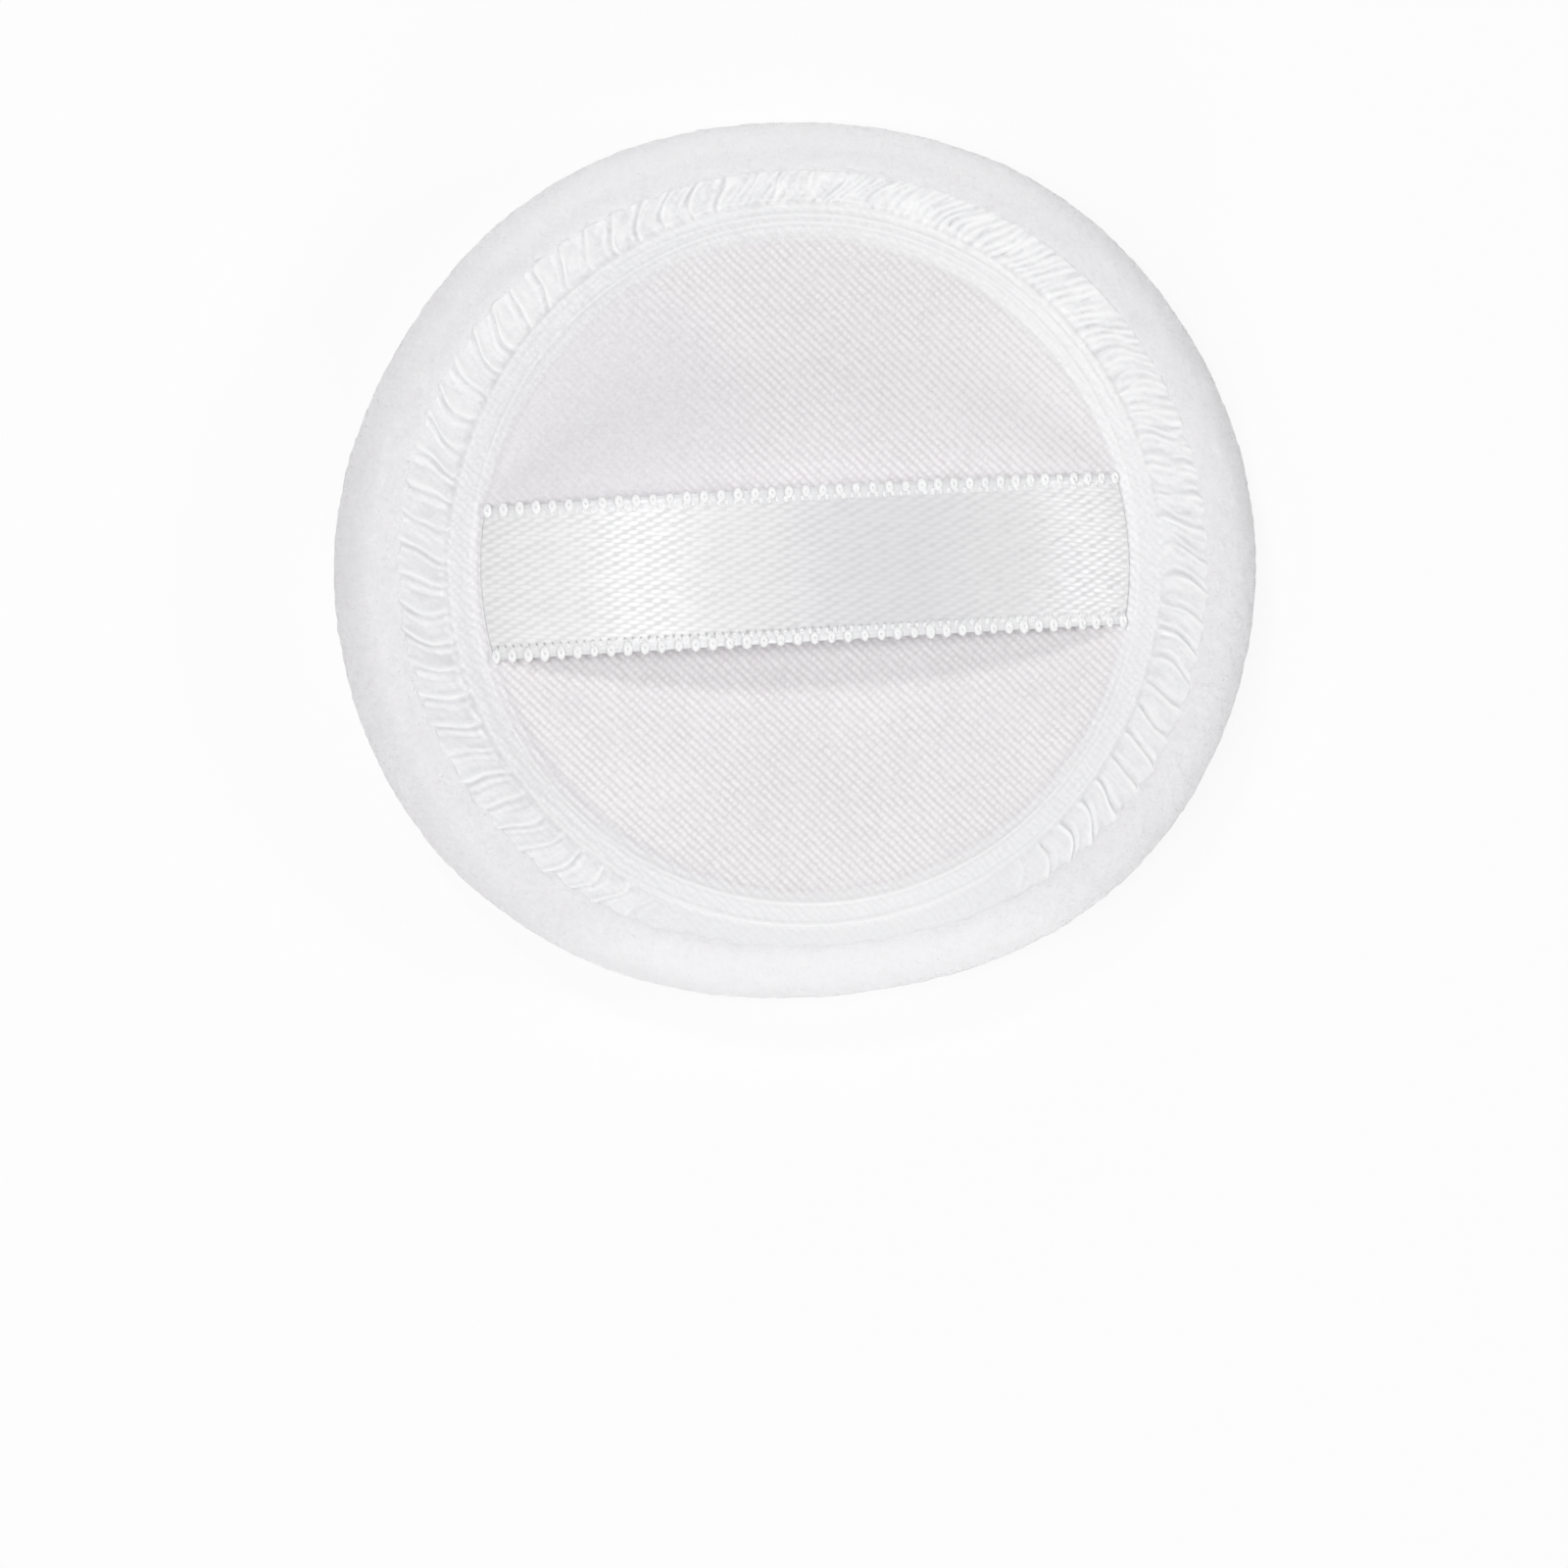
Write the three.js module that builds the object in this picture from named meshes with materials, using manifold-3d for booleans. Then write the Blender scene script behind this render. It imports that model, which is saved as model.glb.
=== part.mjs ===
// A round velour powder puff with a satin back and a ribbon finger loop.
// It lies on its velour face: +Z is up through the satin back, X runs along the ribbon,
// and the origin is under the middle of the outline. All lengths are in millimetres.

import * as THREE from 'three';
import { mergeVertices } from 'three/addons/utils/BufferGeometryUtils.js';
import Module from 'manifold-3d';

// Cushion
const puffWidth = 80; // across the rim, along the ribbon
const faceHeight = 11; // from the velour face up to the flat satin disc
const backFlat = 1.2; // how far the rim is drawn in behind the ribbon
const frontFlat = 2.4; // how far it is drawn in before the ribbon
const flatPower = 4; // how closely the drawing in keeps to those two places
const velourThickness = 1.5; // base cloth and pile together
const velourDrop = 0.4; // top of the velour roll below the satin disc
const crownRise = 1.2; // dome of the velour face
const footCut = 0.5; // how much of that dome is pressed flat under the puff
const velourBand = 4.35; // width of velour that shows round the satin
const lipRound = 0.25; // rounding where the velour roll turns down to the seam

// Satin back: the pleats are next to the seam, then the outer groove, the ridge over the bead of
// thread, the inner groove and the flat disc
const satinThickness = 0.35;
const seamGap = 0.35; // between the satin's edge and the velour roll
const pleatWidth = 4.3; // from the outer groove to the satin's edge
const pleatDrop = 0.3; // inner end of the pleats below the disc
const pleatHeight = 0.45; // crest above valley
const pleatRunIn = 1.2; // length over which a pleat rises from the outer groove
const pleatRunOut = 0.4; // length over which it runs out at the satin's edge
const pleatCount = 82;
const pleatSkew = THREE.MathUtils.degToRad(2.7); // lean of a pleat round the ring
const edgeDrop = 1.05; // the satin's edge below the disc
const outerGrooveWidth = 0.9;
const outerGrooveDepth = 0.55;
const ridgeSlack = 0.05; // satin on each side of the bead
const ridgeDrop = 0.05; // crest of the ridge below the disc
const grooveWidth = 1.2;
const grooveDepth = 0.55;

// Turned-in seam under the satin
const threadWidth = 0.4;
const threadThickness = 0.35;
const needleWidth = 0.5; // the needle thread and the loops it locks
const needleInset = 0.3; // line of the needle thread inside the satin's edge
const beadDiameter = 0.9; // the roll of thread along the cut edges

// Stiffener and ribbon
const stiffenerThickness = 0.5;
const ribbonWidth = 13;
const ribbonThickness = 0.3;
const archRise = 6; // middle of the ribbon's arch above the satin disc
const archSpread = 2.6; // exponent along the ribbon: larger makes the top of the arch longer
const archSteepness = 0.8; // exponent upwards: smaller makes the ends stand steeper
const tuckLength = 6; // ribbon end turned in under the stiffener
const tuckBend = 0.5; // radius of that turn, to the middle of the ribbon
const tackInset = 1.5; // row of stitches in from the ribbon's edges
const tackWidth = 1.6;
const tackStitches = 12;

// Clearances between neighbouring layers
const layerGap = 0.25;
const cutOverrun = 1;

// Facets
const satinSegments = pleatCount;
const undersideSegments = 41;
const coverSegments = 52;
const foamSegments = 48;
const stiffenerSegments = 64;
const threadSegments = 41;
const beadSides = 6;
const archSteps = 24;
const ribbonStrips = 4;
const slitSteps = 4;

// Radii that follow from those sizes, from the seam inwards
const seamRadius = puffWidth / 2 - velourBand;
const satinEdge = seamRadius - seamGap;
const pleatInner = satinEdge - pleatWidth;
const outerGrooveRadius = pleatInner - outerGrooveWidth / 2;
const ridgeWidth = beadDiameter + 2 * ridgeSlack;
const beadRadius = pleatInner - outerGrooveWidth - ridgeWidth / 2;
const allowanceInner = beadRadius + beadDiameter / 2 + layerGap;
const grooveRadius = beadRadius - ridgeWidth / 2 - grooveWidth / 2;
const discRadius = grooveRadius - grooveWidth / 2;
const legRadius = discRadius + ribbonThickness / 2;
const stiffenerRadius = discRadius - layerGap;

// Round of the rim: a section of one radius between the velour roll and the dome of the face
const rimLow = crownRise - footCut;
const rimRadius = (faceHeight - velourDrop - rimLow) / 2;
const rimCentreRadius = puffWidth / 2 - rimRadius;
const rimCentreHeight = rimLow + rimRadius;
const footRadius = rimCentreRadius * Math.sqrt(footCut / crownRise);

// Heights of the layers under the flat disc, from the top down
const stiffenerTop = faceHeight - satinThickness - layerGap;
const tuckHeight = stiffenerTop - stiffenerThickness - layerGap - ribbonThickness / 2;
const tackTop = tuckHeight - ribbonThickness / 2 - layerGap;
const foamTop = tackTop - threadThickness - layerGap;

const wasm = await Module();
wasm.setup();

function toSolid(geometry) {
  const bare = geometry.clone();
  bare.deleteAttribute('normal');
  bare.deleteAttribute('uv');
  const merged = mergeVertices(bare, 1e-4);
  const mesh = new wasm.Mesh({
    numProp: 3,
    vertProperties: new Float32Array(merged.attributes.position.array),
    triVerts: new Uint32Array(merged.index.array),
  });
  return new wasm.Manifold(mesh);
}

function toGeometry(solid) {
  const mesh = solid.getMesh();
  const geometry = new THREE.BufferGeometry();
  geometry.setAttribute('position', new THREE.BufferAttribute(mesh.vertProperties, 3));
  geometry.setIndex(new THREE.BufferAttribute(mesh.triVerts, 1));
  return geometry;
}

// Joins closed rows of points, first to last, into one surface. The first and last rows may be
// single points. Neighbouring rows may differ in count: the row that lags behind steps first.
function surfaceThrough(rows) {
  const points = rows.flat();
  const starts = rows.map((_, k) => rows.slice(0, k).reduce((sum, row) => sum + row.length, 0));
  const triangles = [];
  for (let k = 0; k + 1 < rows.length; k += 1) {
    const near = rows[k].length;
    const far = rows[k + 1].length;
    const a = (i) => starts[k] + (i % near);
    const b = (j) => starts[k + 1] + (j % far);
    const nearSteps = near === 1 ? 0 : near;
    const farSteps = far === 1 ? 0 : far;
    let i = 0;
    let j = 0;
    while (i < nearSteps || j < farSteps) {
      const farIsNext = i === nearSteps || (j < farSteps && (j + 0.5) / far <= (i + 0.5) / near);
      if (farIsNext) {
        triangles.push(a(i), b(j), b(j + 1));
        j += 1;
      } else {
        triangles.push(a(i), b(j), a(i + 1));
        i += 1;
      }
    }
  }
  const geometry = new THREE.BufferGeometry().setFromPoints(points);
  geometry.setIndex(triangles);
  return geometry;
}

// Draws the rim and the seam in towards the middle, before and behind the ribbon. The flat
// disc and the rings keep their circles, and the pleats take up the difference.
function drawIn(geometry) {
  const position = geometry.attributes.position;
  for (let k = 0; k < position.count; k += 1) {
    const x = position.getX(k);
    const y = position.getY(k);
    const radius = Math.hypot(x, y);
    if (radius > pleatInner) {
      const share = Math.min((radius - pleatInner) / pleatWidth, 1);
      const sine = y / radius;
      const inward = (sine > 0 ? backFlat : frontFlat) * Math.abs(sine) ** flatPower * share;
      position.setXY(k, x * (1 - inward / radius), y * (1 - inward / radius));
    }
  }
  return geometry;
}

function revolve(profile, segments) {
  return new THREE.LatheGeometry(profile, segments).rotateX(Math.PI / 2);
}

// Points round the rim's section, drawn in by an inset. An angle of zero is the outermost point.
function rimPoints(inset, fromDegrees, toDegrees, steps) {
  const points = [];
  for (let k = 0; k <= steps; k += 1) {
    const angle = THREE.MathUtils.degToRad(fromDegrees + ((toDegrees - fromDegrees) * k) / steps);
    const reach = rimRadius - inset;
    points.push(new THREE.Vector2(
      rimCentreRadius + reach * Math.cos(angle),
      rimCentreHeight + reach * Math.sin(angle),
    ));
  }
  return points;
}

// Heights of the layers of the turned-in seam, which all fall alike towards the satin's edge
function satinUnderside(radius) {
  const fall = (edgeDrop - outerGrooveDepth) / (satinEdge - outerGrooveRadius);
  return faceHeight - satinThickness - outerGrooveDepth - fall * (radius - outerGrooveRadius);
}
const threadHeight = (radius) => satinUnderside(radius) - layerGap - threadThickness / 2;
const allowanceTop = (radius) => threadHeight(radius) - threadThickness / 2 - layerGap;
const allowanceBottom = (radius) => allowanceTop(radius) - velourThickness;

// The velour: a domed face, the round rim, the roll down to the seam and the turned-in allowance
function velourCover() {
  const lip = seamRadius + lipRound;
  const lipAngle = THREE.MathUtils.radToDeg(Math.acos((lip - rimCentreRadius) / rimRadius));
  const roll = rimPoints(0, -90, lipAngle, 8);
  const midRadius = (footRadius + rimCentreRadius) / 2;
  const profile = [
    new THREE.Vector2(0, 0),
    new THREE.Vector2(footRadius, 0),
    new THREE.Vector2(midRadius, crownRise * (midRadius / rimCentreRadius) ** 2 - footCut),
    ...roll,
    new THREE.Vector2(seamRadius, roll.at(-1).y - lipRound),
    new THREE.Vector2(seamRadius, allowanceTop(seamRadius)),
    new THREE.Vector2(allowanceInner, allowanceTop(allowanceInner)),
    new THREE.Vector2(allowanceInner, allowanceBottom(allowanceInner)),
    new THREE.Vector2(rimCentreRadius, allowanceBottom(rimCentreRadius)),
    ...rimPoints(velourThickness, 50, -90, 5),
    new THREE.Vector2(footRadius, velourThickness),
    new THREE.Vector2(0, velourThickness),
  ];
  return drawIn(revolve(profile, coverSegments));
}

// The foam: it fills the cover and steps up inside the seam allowance to carry the middle
function foamCore() {
  const inset = velourThickness + layerGap;
  const profile = [
    new THREE.Vector2(0, inset),
    new THREE.Vector2(footRadius, inset),
    ...rimPoints(inset, -90, 50, 5),
    new THREE.Vector2(rimCentreRadius, allowanceBottom(rimCentreRadius) - layerGap),
    new THREE.Vector2(allowanceInner - layerGap, allowanceBottom(allowanceInner) - layerGap),
    new THREE.Vector2(beadRadius - beadDiameter / 2, foamTop),
    new THREE.Vector2(0, foamTop),
  ];
  return drawIn(revolve(profile, foamSegments));
}

function backingStiffener() {
  return new THREE.CylinderGeometry(
    stiffenerRadius, stiffenerRadius, stiffenerThickness, stiffenerSegments,
  ).rotateX(Math.PI / 2).translate(0, 0, stiffenerTop - stiffenerThickness / 2);
}

// How far a pleat has leaned round the ring at a radius: all of it at its inner end
function leanAt(radius) {
  return pleatSkew * Math.min(1, Math.max(0, (satinEdge - radius) / pleatWidth));
}

// One round row of the satin. With a pleat height, every second point is a valley.
function satinRow(radius, height, count, valley = 0) {
  const lean = leanAt(radius);
  return Array.from({ length: count }, (_, k) => {
    const angle = (2 * Math.PI * k) / count + lean;
    const z = height - (k % 2) * valley;
    return new THREE.Vector3(radius * Math.cos(angle), radius * Math.sin(angle), z);
  });
}

// Cuts the slit that a ribbon end goes down through, along the edge of the flat disc
function ribbonSlit(side) {
  const halfAngle = Math.asin((ribbonWidth / 2 + layerGap) / legRadius);
  const middle = side > 0 ? 0 : Math.PI;
  const reach = ribbonThickness / 2 + layerGap;
  const outline = new THREE.Shape();
  outline.absarc(0, 0, legRadius + reach, middle - halfAngle, middle + halfAngle, false);
  outline.absarc(0, 0, legRadius - reach, middle + halfAngle, middle - halfAngle, true);
  const depth = grooveDepth + satinThickness + 2 * cutOverrun;
  return new THREE.ExtrudeGeometry(outline, { depth, bevelEnabled: false, curveSegments: slitSteps })
    .translate(0, 0, faceHeight + cutOverrun - depth);
}

// The satin back: one cloth with its disc, grooves, ridge and ring of skewed pleats
function satinBacking() {
  const groove = faceHeight - grooveDepth;
  const ridge = faceHeight - ridgeDrop;
  const outerGroove = faceHeight - outerGrooveDepth;
  const pleatStart = pleatInner + pleatRunIn;
  const pleatEnd = satinEdge - pleatRunOut;
  const edge = faceHeight - edgeDrop;
  const crest = (radius) => {
    const share = (radius - pleatInner) / pleatWidth;
    return faceHeight - pleatDrop - (edgeDrop - pleatDrop) * share + pleatHeight / 2;
  };
  const folds = 2 * pleatCount;
  const rows = [
    [new THREE.Vector3(0, 0, faceHeight)],
    satinRow(discRadius, faceHeight, satinSegments),
    satinRow(grooveRadius, groove, satinSegments),
    satinRow(beadRadius - ridgeWidth / 4, ridge, satinSegments),
    satinRow(beadRadius + ridgeWidth / 4, ridge, satinSegments),
    satinRow(outerGrooveRadius, outerGroove, satinSegments),
    satinRow(pleatInner, faceHeight - pleatDrop, satinSegments),
    satinRow(pleatStart, crest(pleatStart), folds, pleatHeight),
    satinRow(pleatEnd, crest(pleatEnd), folds, pleatHeight),
    satinRow(satinEdge, edge, satinSegments),
    satinRow(satinEdge, satinUnderside(satinEdge), undersideSegments),
    satinRow(outerGrooveRadius, outerGroove - satinThickness, undersideSegments),
    satinRow(beadRadius, ridge - satinThickness, undersideSegments),
    satinRow(grooveRadius, groove - satinThickness, undersideSegments),
    satinRow(discRadius - layerGap, faceHeight - satinThickness, undersideSegments),
    [new THREE.Vector3(0, 0, faceHeight - satinThickness)],
  ];
  const cloth = toSolid(drawIn(surfaceThrough(rows)));
  const slits = [-1, 1].map((side) => toSolid(ribbonSlit(side)));
  return toGeometry(cloth.subtract(slits[0]).subtract(slits[1]));
}

// The overlock: a bead of thread along the cut edges, a cross thread under every pleat and
// the needle line that joins their outer ends
function overlockThread() {
  const needleRadius = satinEdge - needleInset;
  const bead = new THREE.EllipseCurve(
    beadRadius, threadHeight(beadRadius), beadDiameter / 2, beadDiameter / 2,
    Math.PI / beadSides, 2 * Math.PI + Math.PI / beadSides,
  ).getPoints(beadSides);
  const needle = [[-1, -1], [1, -1], [1, 1], [-1, 1], [-1, -1]].map(([across, up]) => (
    new THREE.Vector2(
      needleRadius + (across * needleWidth) / 2,
      threadHeight(needleRadius) + (up * needleWidth) / 2,
    )
  ));
  const rings = [bead, needle].map((profile) => toSolid(revolve(profile, threadSegments)));
  let thread = rings[0].add(rings[1]);
  for (let k = 0; k < pleatCount; k += 1) {
    const crossing = (radius) => {
      const angle = (2 * Math.PI * k) / pleatCount + leanAt(radius);
      return new THREE.Vector3(
        radius * Math.cos(angle), radius * Math.sin(angle), threadHeight(radius),
      );
    };
    const from = crossing(beadRadius);
    const to = crossing(needleRadius);
    const along = to.clone().sub(from).normalize();
    const across = new THREE.Vector3(0, 0, 1).cross(along).normalize();
    const up = along.clone().cross(across);
    const bar = new THREE.BoxGeometry(from.distanceTo(to), threadWidth, threadThickness);
    bar.applyMatrix4(new THREE.Matrix4().makeBasis(along, across, up));
    bar.translate(...from.add(to).divideScalar(2).toArray());
    thread = thread.add(toSolid(bar));
  }
  return drawIn(toGeometry(thread));
}

// Stations along the ribbon. Each lies at a share of the way from the middle to the ribbon's
// leg, less an inset towards the middle, at a height.
function ribbonStations() {
  const corner = Math.SQRT1_2;
  const end = [
    { inset: tuckLength, height: tuckHeight },
    { inset: tuckBend, height: tuckHeight },
    { inset: tuckBend * (1 - corner), height: tuckHeight + tuckBend * (1 - corner) },
    { inset: 0, height: tuckHeight + tuckBend },
  ];
  const arch = Array.from({ length: archSteps + 1 }, (_, k) => {
    const share = -Math.cos((Math.PI * k) / archSteps);
    const lift = (1 - Math.abs(share) ** archSpread) ** archSteepness;
    return { share, inset: 0, height: faceHeight + archRise * lift };
  });
  return [
    ...end.map((station) => ({ share: -1, ...station })),
    ...arch,
    ...end.toReversed().map((station) => ({ share: 1, ...station })),
  ];
}

// The ribbon: arched over the back, down through the slits and in under the stiffener. Its
// legs follow the round edge of the disc, so the arch is a little shorter along its edges.
function ribbonBand() {
  const stations = ribbonStations();
  const middle = stations.map(({ share, inset, height }) => (
    Array.from({ length: ribbonStrips + 1 }, (_, k) => {
      const y = ribbonWidth * (k / ribbonStrips - 0.5);
      const reach = Math.sqrt(legRadius ** 2 - y ** 2);
      return new THREE.Vector3(share * reach - Math.sign(share) * inset, y, height);
    })
  ));
  const offset = (i, j, distance) => {
    const before = middle[Math.max(i - 1, 0)][j];
    const after = middle[Math.min(i + 1, middle.length - 1)][j];
    const across = middle[i][Math.min(j + 1, ribbonStrips)].clone()
      .sub(middle[i][Math.max(j - 1, 0)]);
    const normal = after.clone().sub(before).cross(across).normalize();
    return middle[i][j].clone().addScaledVector(normal, distance);
  };
  const strips = Array.from({ length: ribbonStrips + 1 }, (_, j) => j);
  const loops = stations.map((_, i) => [
    ...strips.map((j) => offset(i, j, ribbonThickness / 2)),
    ...strips.toReversed().map((j) => offset(i, j, -ribbonThickness / 2)),
  ]);
  const centre = Math.floor(ribbonStrips / 2);
  return surfaceThrough([[middle[0][centre]], ...loops, [middle.at(-1)[centre]]]);
}

// One row of zigzag stitches under a ribbon end, laid across it
function ribbonTack(side) {
  const step = (k) => (ribbonWidth - 2 * tackInset) * (k / tackStitches - 0.5);
  const swing = (k) => (tackWidth - threadWidth) * (k % 2 ? 0.5 : -0.5);
  const count = Array.from({ length: tackStitches + 1 }, (_, k) => k);
  const outline = new THREE.Shape([
    ...count.map((k) => new THREE.Vector2(swing(k) + threadWidth / 2, step(k))),
    ...count.toReversed().map((k) => new THREE.Vector2(swing(k) - threadWidth / 2, step(k))),
  ]);
  return new THREE.ExtrudeGeometry(outline, { depth: threadThickness, bevelEnabled: false })
    .translate(side * (legRadius - tuckLength / 2), 0, tackTop - threadThickness);
}

const cloth = (color, roughness) => (
  new THREE.MeshStandardMaterial({ color, roughness, metalness: 0 })
);

const pieces = [
  ['velour_cover', velourCover(), cloth('#f3f3f5', 1)],
  ['foam_core', foamCore(), cloth('#f2efe2', 0.95)],
  ['backing_stiffener', backingStiffener(), cloth('#e9ebee', 0.5)],
  ['satin_backing', satinBacking(), cloth('#ebe9ec', 0.4)],
  ['overlock_thread', overlockThread(), cloth('#f4f4f6', 0.7)],
  ['ribbon_band', ribbonBand(), cloth('#f0f1f5', 0.35)],
  ['ribbon_tack_left', ribbonTack(-1), cloth('#f4f4f6', 0.7)],
  ['ribbon_tack_right', ribbonTack(1), cloth('#f4f4f6', 0.7)],
];

// The drawing in is deeper before the ribbon, so the rings sit a little off the outline's middle
const puff = new THREE.Group();
puff.position.y = -(frontFlat - backFlat) / 2;
for (const [name, geometry, material] of pieces) {
  const mesh = new THREE.Mesh(geometry, material);
  mesh.name = name;
  puff.add(mesh);
}

export default puff;
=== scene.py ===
import math

import bpy
import numpy as np
from mathutils import Matrix, Vector


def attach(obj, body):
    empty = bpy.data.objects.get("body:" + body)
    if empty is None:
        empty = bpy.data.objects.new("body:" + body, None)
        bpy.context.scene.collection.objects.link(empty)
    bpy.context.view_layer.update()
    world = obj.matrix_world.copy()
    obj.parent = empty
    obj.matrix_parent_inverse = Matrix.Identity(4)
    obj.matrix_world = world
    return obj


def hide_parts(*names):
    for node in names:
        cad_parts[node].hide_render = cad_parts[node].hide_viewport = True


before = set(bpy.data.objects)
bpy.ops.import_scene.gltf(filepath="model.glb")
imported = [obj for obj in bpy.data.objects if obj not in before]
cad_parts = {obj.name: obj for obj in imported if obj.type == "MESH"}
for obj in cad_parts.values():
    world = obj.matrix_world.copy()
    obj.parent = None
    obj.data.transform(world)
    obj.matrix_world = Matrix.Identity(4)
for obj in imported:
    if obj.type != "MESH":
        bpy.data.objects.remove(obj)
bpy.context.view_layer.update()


# Foam core. A round of soft open-cell foam that fills the cover and makes the thick rim.
# It is die-cut, steps up in the middle to carry the stiffener, and is held only by the
# sewn cover round it. Lengths are in millimetres about the middle of the rings.
millimetre = 0.001
puff_width = 80.0
face_height = 11.0
back_flat = 1.2
front_flat = 2.4
flat_power = 4
crown_rise = 1.2
foot_cut = 0.5
velour_thickness = 1.5
velour_drop = 0.4
velour_band = 4.35
layer_gap = 0.25
satin_thickness = 0.35
seam_gap = 0.35
pleat_width = 4.3
outer_groove_width = 0.9
outer_groove_depth = 0.55
edge_drop = 1.05
bead_diameter = 0.9
ridge_slack = 0.05
thread_thickness = 0.35
stiffener_thickness = 0.5
ribbon_thickness = 0.3

seam_radius = puff_width / 2 - velour_band
satin_edge = seam_radius - seam_gap
pleat_inner = satin_edge - pleat_width
outer_groove_radius = pleat_inner - outer_groove_width / 2
bead_radius = pleat_inner - outer_groove_width - bead_diameter / 2 - ridge_slack
middle_shift = (front_flat - back_flat) / 2
allowance_inner = bead_radius + bead_diameter / 2 + layer_gap
rim_low = crown_rise - foot_cut
rim_radius = (face_height - velour_drop - rim_low) / 2
rim_centre_radius = puff_width / 2 - rim_radius
rim_centre_height = rim_low + rim_radius
foot_radius = rim_centre_radius * math.sqrt(foot_cut / crown_rise)
stiffener_top = face_height - satin_thickness - layer_gap
tuck_height = stiffener_top - stiffener_thickness - layer_gap - ribbon_thickness / 2
tack_top = tuck_height - ribbon_thickness / 2 - layer_gap
foam_top = tack_top - thread_thickness - layer_gap
foam_columns = 192
middle_columns = 48
foam_middle = 6
foam_step = 0.7
rim_steps = 14
pore_depth = 0.05
pore_seed = 7
pore_reach = 8


def thread_height(radius):
    """The overlock lies under the satin, which falls towards the seam."""
    fall = (edge_drop - outer_groove_depth) / (satin_edge - outer_groove_radius)
    underside = face_height - satin_thickness - outer_groove_depth - fall * (radius - outer_groove_radius)
    return underside - layer_gap - thread_thickness / 2


def allowance_top(radius):
    return thread_height(radius) - thread_thickness / 2 - layer_gap


def allowance_bottom(radius):
    return allowance_top(radius) - velour_thickness


def rim_arc(inset, start, end, steps):
    """Points round the rim's section, in degrees from its outermost point."""
    angle = np.radians(np.linspace(start, end, steps + 1))
    reach = rim_radius - inset
    return [(rim_centre_radius + reach * math.cos(a), rim_centre_height + reach * math.sin(a))
            for a in angle]


def along_profile(corners, step):
    """Evenly spaced points on a section's line, with its corners kept."""
    points = [corners[0]]
    for (a, b), (c, d) in zip(corners, corners[1:]):
        count = max(1, round(math.dist((a, b), (c, d)) / step))
        points += [(a + (c - a) * t, b + (d - b) * t) for t in (k / count for k in range(1, count + 1))]
    return points


def round_row(radius, height, count):
    """One closed row of points, or a single one at the middle."""
    if radius < 1e-6:
        return np.array([[0.0, 0.0, height]])
    angle = 2 * np.pi * np.arange(count) / count
    return np.stack([radius * np.cos(angle), radius * np.sin(angle), np.full(count, height)], 1)


def skin_through(rows):
    """Joins closed rows, which may differ in count, into one list of faces."""
    starts = np.cumsum([0] + [len(row) for row in rows])
    faces = []
    for k in range(len(rows) - 1):
        near, far, a, b = len(rows[k]), len(rows[k + 1]), starts[k], starts[k + 1]
        if near == far and near > 1:
            i = np.arange(near)
            j = (i + 1) % near
            faces += np.stack([a + i, b + i, b + j, a + j], 1).tolist()
            continue
        i = j = 0
        near_steps, far_steps = (0 if near == 1 else near), (0 if far == 1 else far)
        while i < near_steps or j < far_steps:
            if i == near_steps or (j < far_steps and (j + 0.5) / far <= (i + 0.5) / near):
                faces.append([int(a + i % near), int(b + j % far), int(b + (j + 1) % far)])
                j += 1
            else:
                faces.append([int(a + i % near), int(b + j % far), int(a + (i + 1) % near)])
                i += 1
    return faces


def draw_in(points):
    """Draws the rim in before and behind the ribbon; the disc and rings stay round."""
    radius = np.maximum(np.hypot(points[:, 0], points[:, 1]), 1e-9)
    sine = points[:, 1] / radius
    share = np.clip((radius - pleat_inner) / pleat_width, 0, 1)
    inward = np.where(sine > 0, back_flat, front_flat) * np.abs(sine) ** flat_power * share
    drawn = points.copy()
    drawn[:, :2] *= (1 - inward / radius)[:, None]
    return drawn


def into_place(points):
    """Millimetres about the rings' middle, as metres in the part's own frame."""
    moved = np.array(points, float)
    moved[:, 1] -= middle_shift
    return moved * millimetre


def add_object(name, data):
    thing = bpy.data.objects.new(name, data)
    bpy.context.scene.collection.objects.link(thing)
    return thing


def finish_mesh(mesh, material):
    mesh.polygons.foreach_set("use_smooth", [True] * len(mesh.polygons))
    mesh.materials.clear()
    mesh.materials.append(material)


def make_piece(name, points, faces, material):
    mesh = bpy.data.meshes.new(name)
    mesh.from_pydata([tuple(p) for p in into_place(points)], [], faces)
    mesh.validate()
    finish_mesh(mesh, material)
    return add_object(name, mesh)


class Amount:
    """A node's output that a sum takes like a number: each sign there adds a Math node."""

    def __init__(self, socket):
        self.socket, self.tree = socket, socket.id_data

    def __add__(self, other):
        return maths("ADD", self, other)

    def __mul__(self, other):
        return maths("MULTIPLY", self, other)

    def __pow__(self, power):
        return maths("POWER", self, power)

    def __sub__(self, other):
        return maths("SUBTRACT", self, other)

    def __rsub__(self, other):
        return maths("SUBTRACT", other, self)

    def __truediv__(self, other):
        return maths("DIVIDE", self, other)

    def __rtruediv__(self, other):
        return maths("DIVIDE", other, self)

    def __abs__(self):
        return maths("ABSOLUTE", self)

    __radd__, __rmul__ = __add__, __mul__


def feed(value, socket):
    """Links an amount or an output to a node's input, or writes a plain value there."""
    if isinstance(value, Amount):
        value = value.socket
    if isinstance(value, bpy.types.NodeSocket):
        socket.id_data.links.new(value, socket)
    else:
        socket.default_value = value


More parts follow.
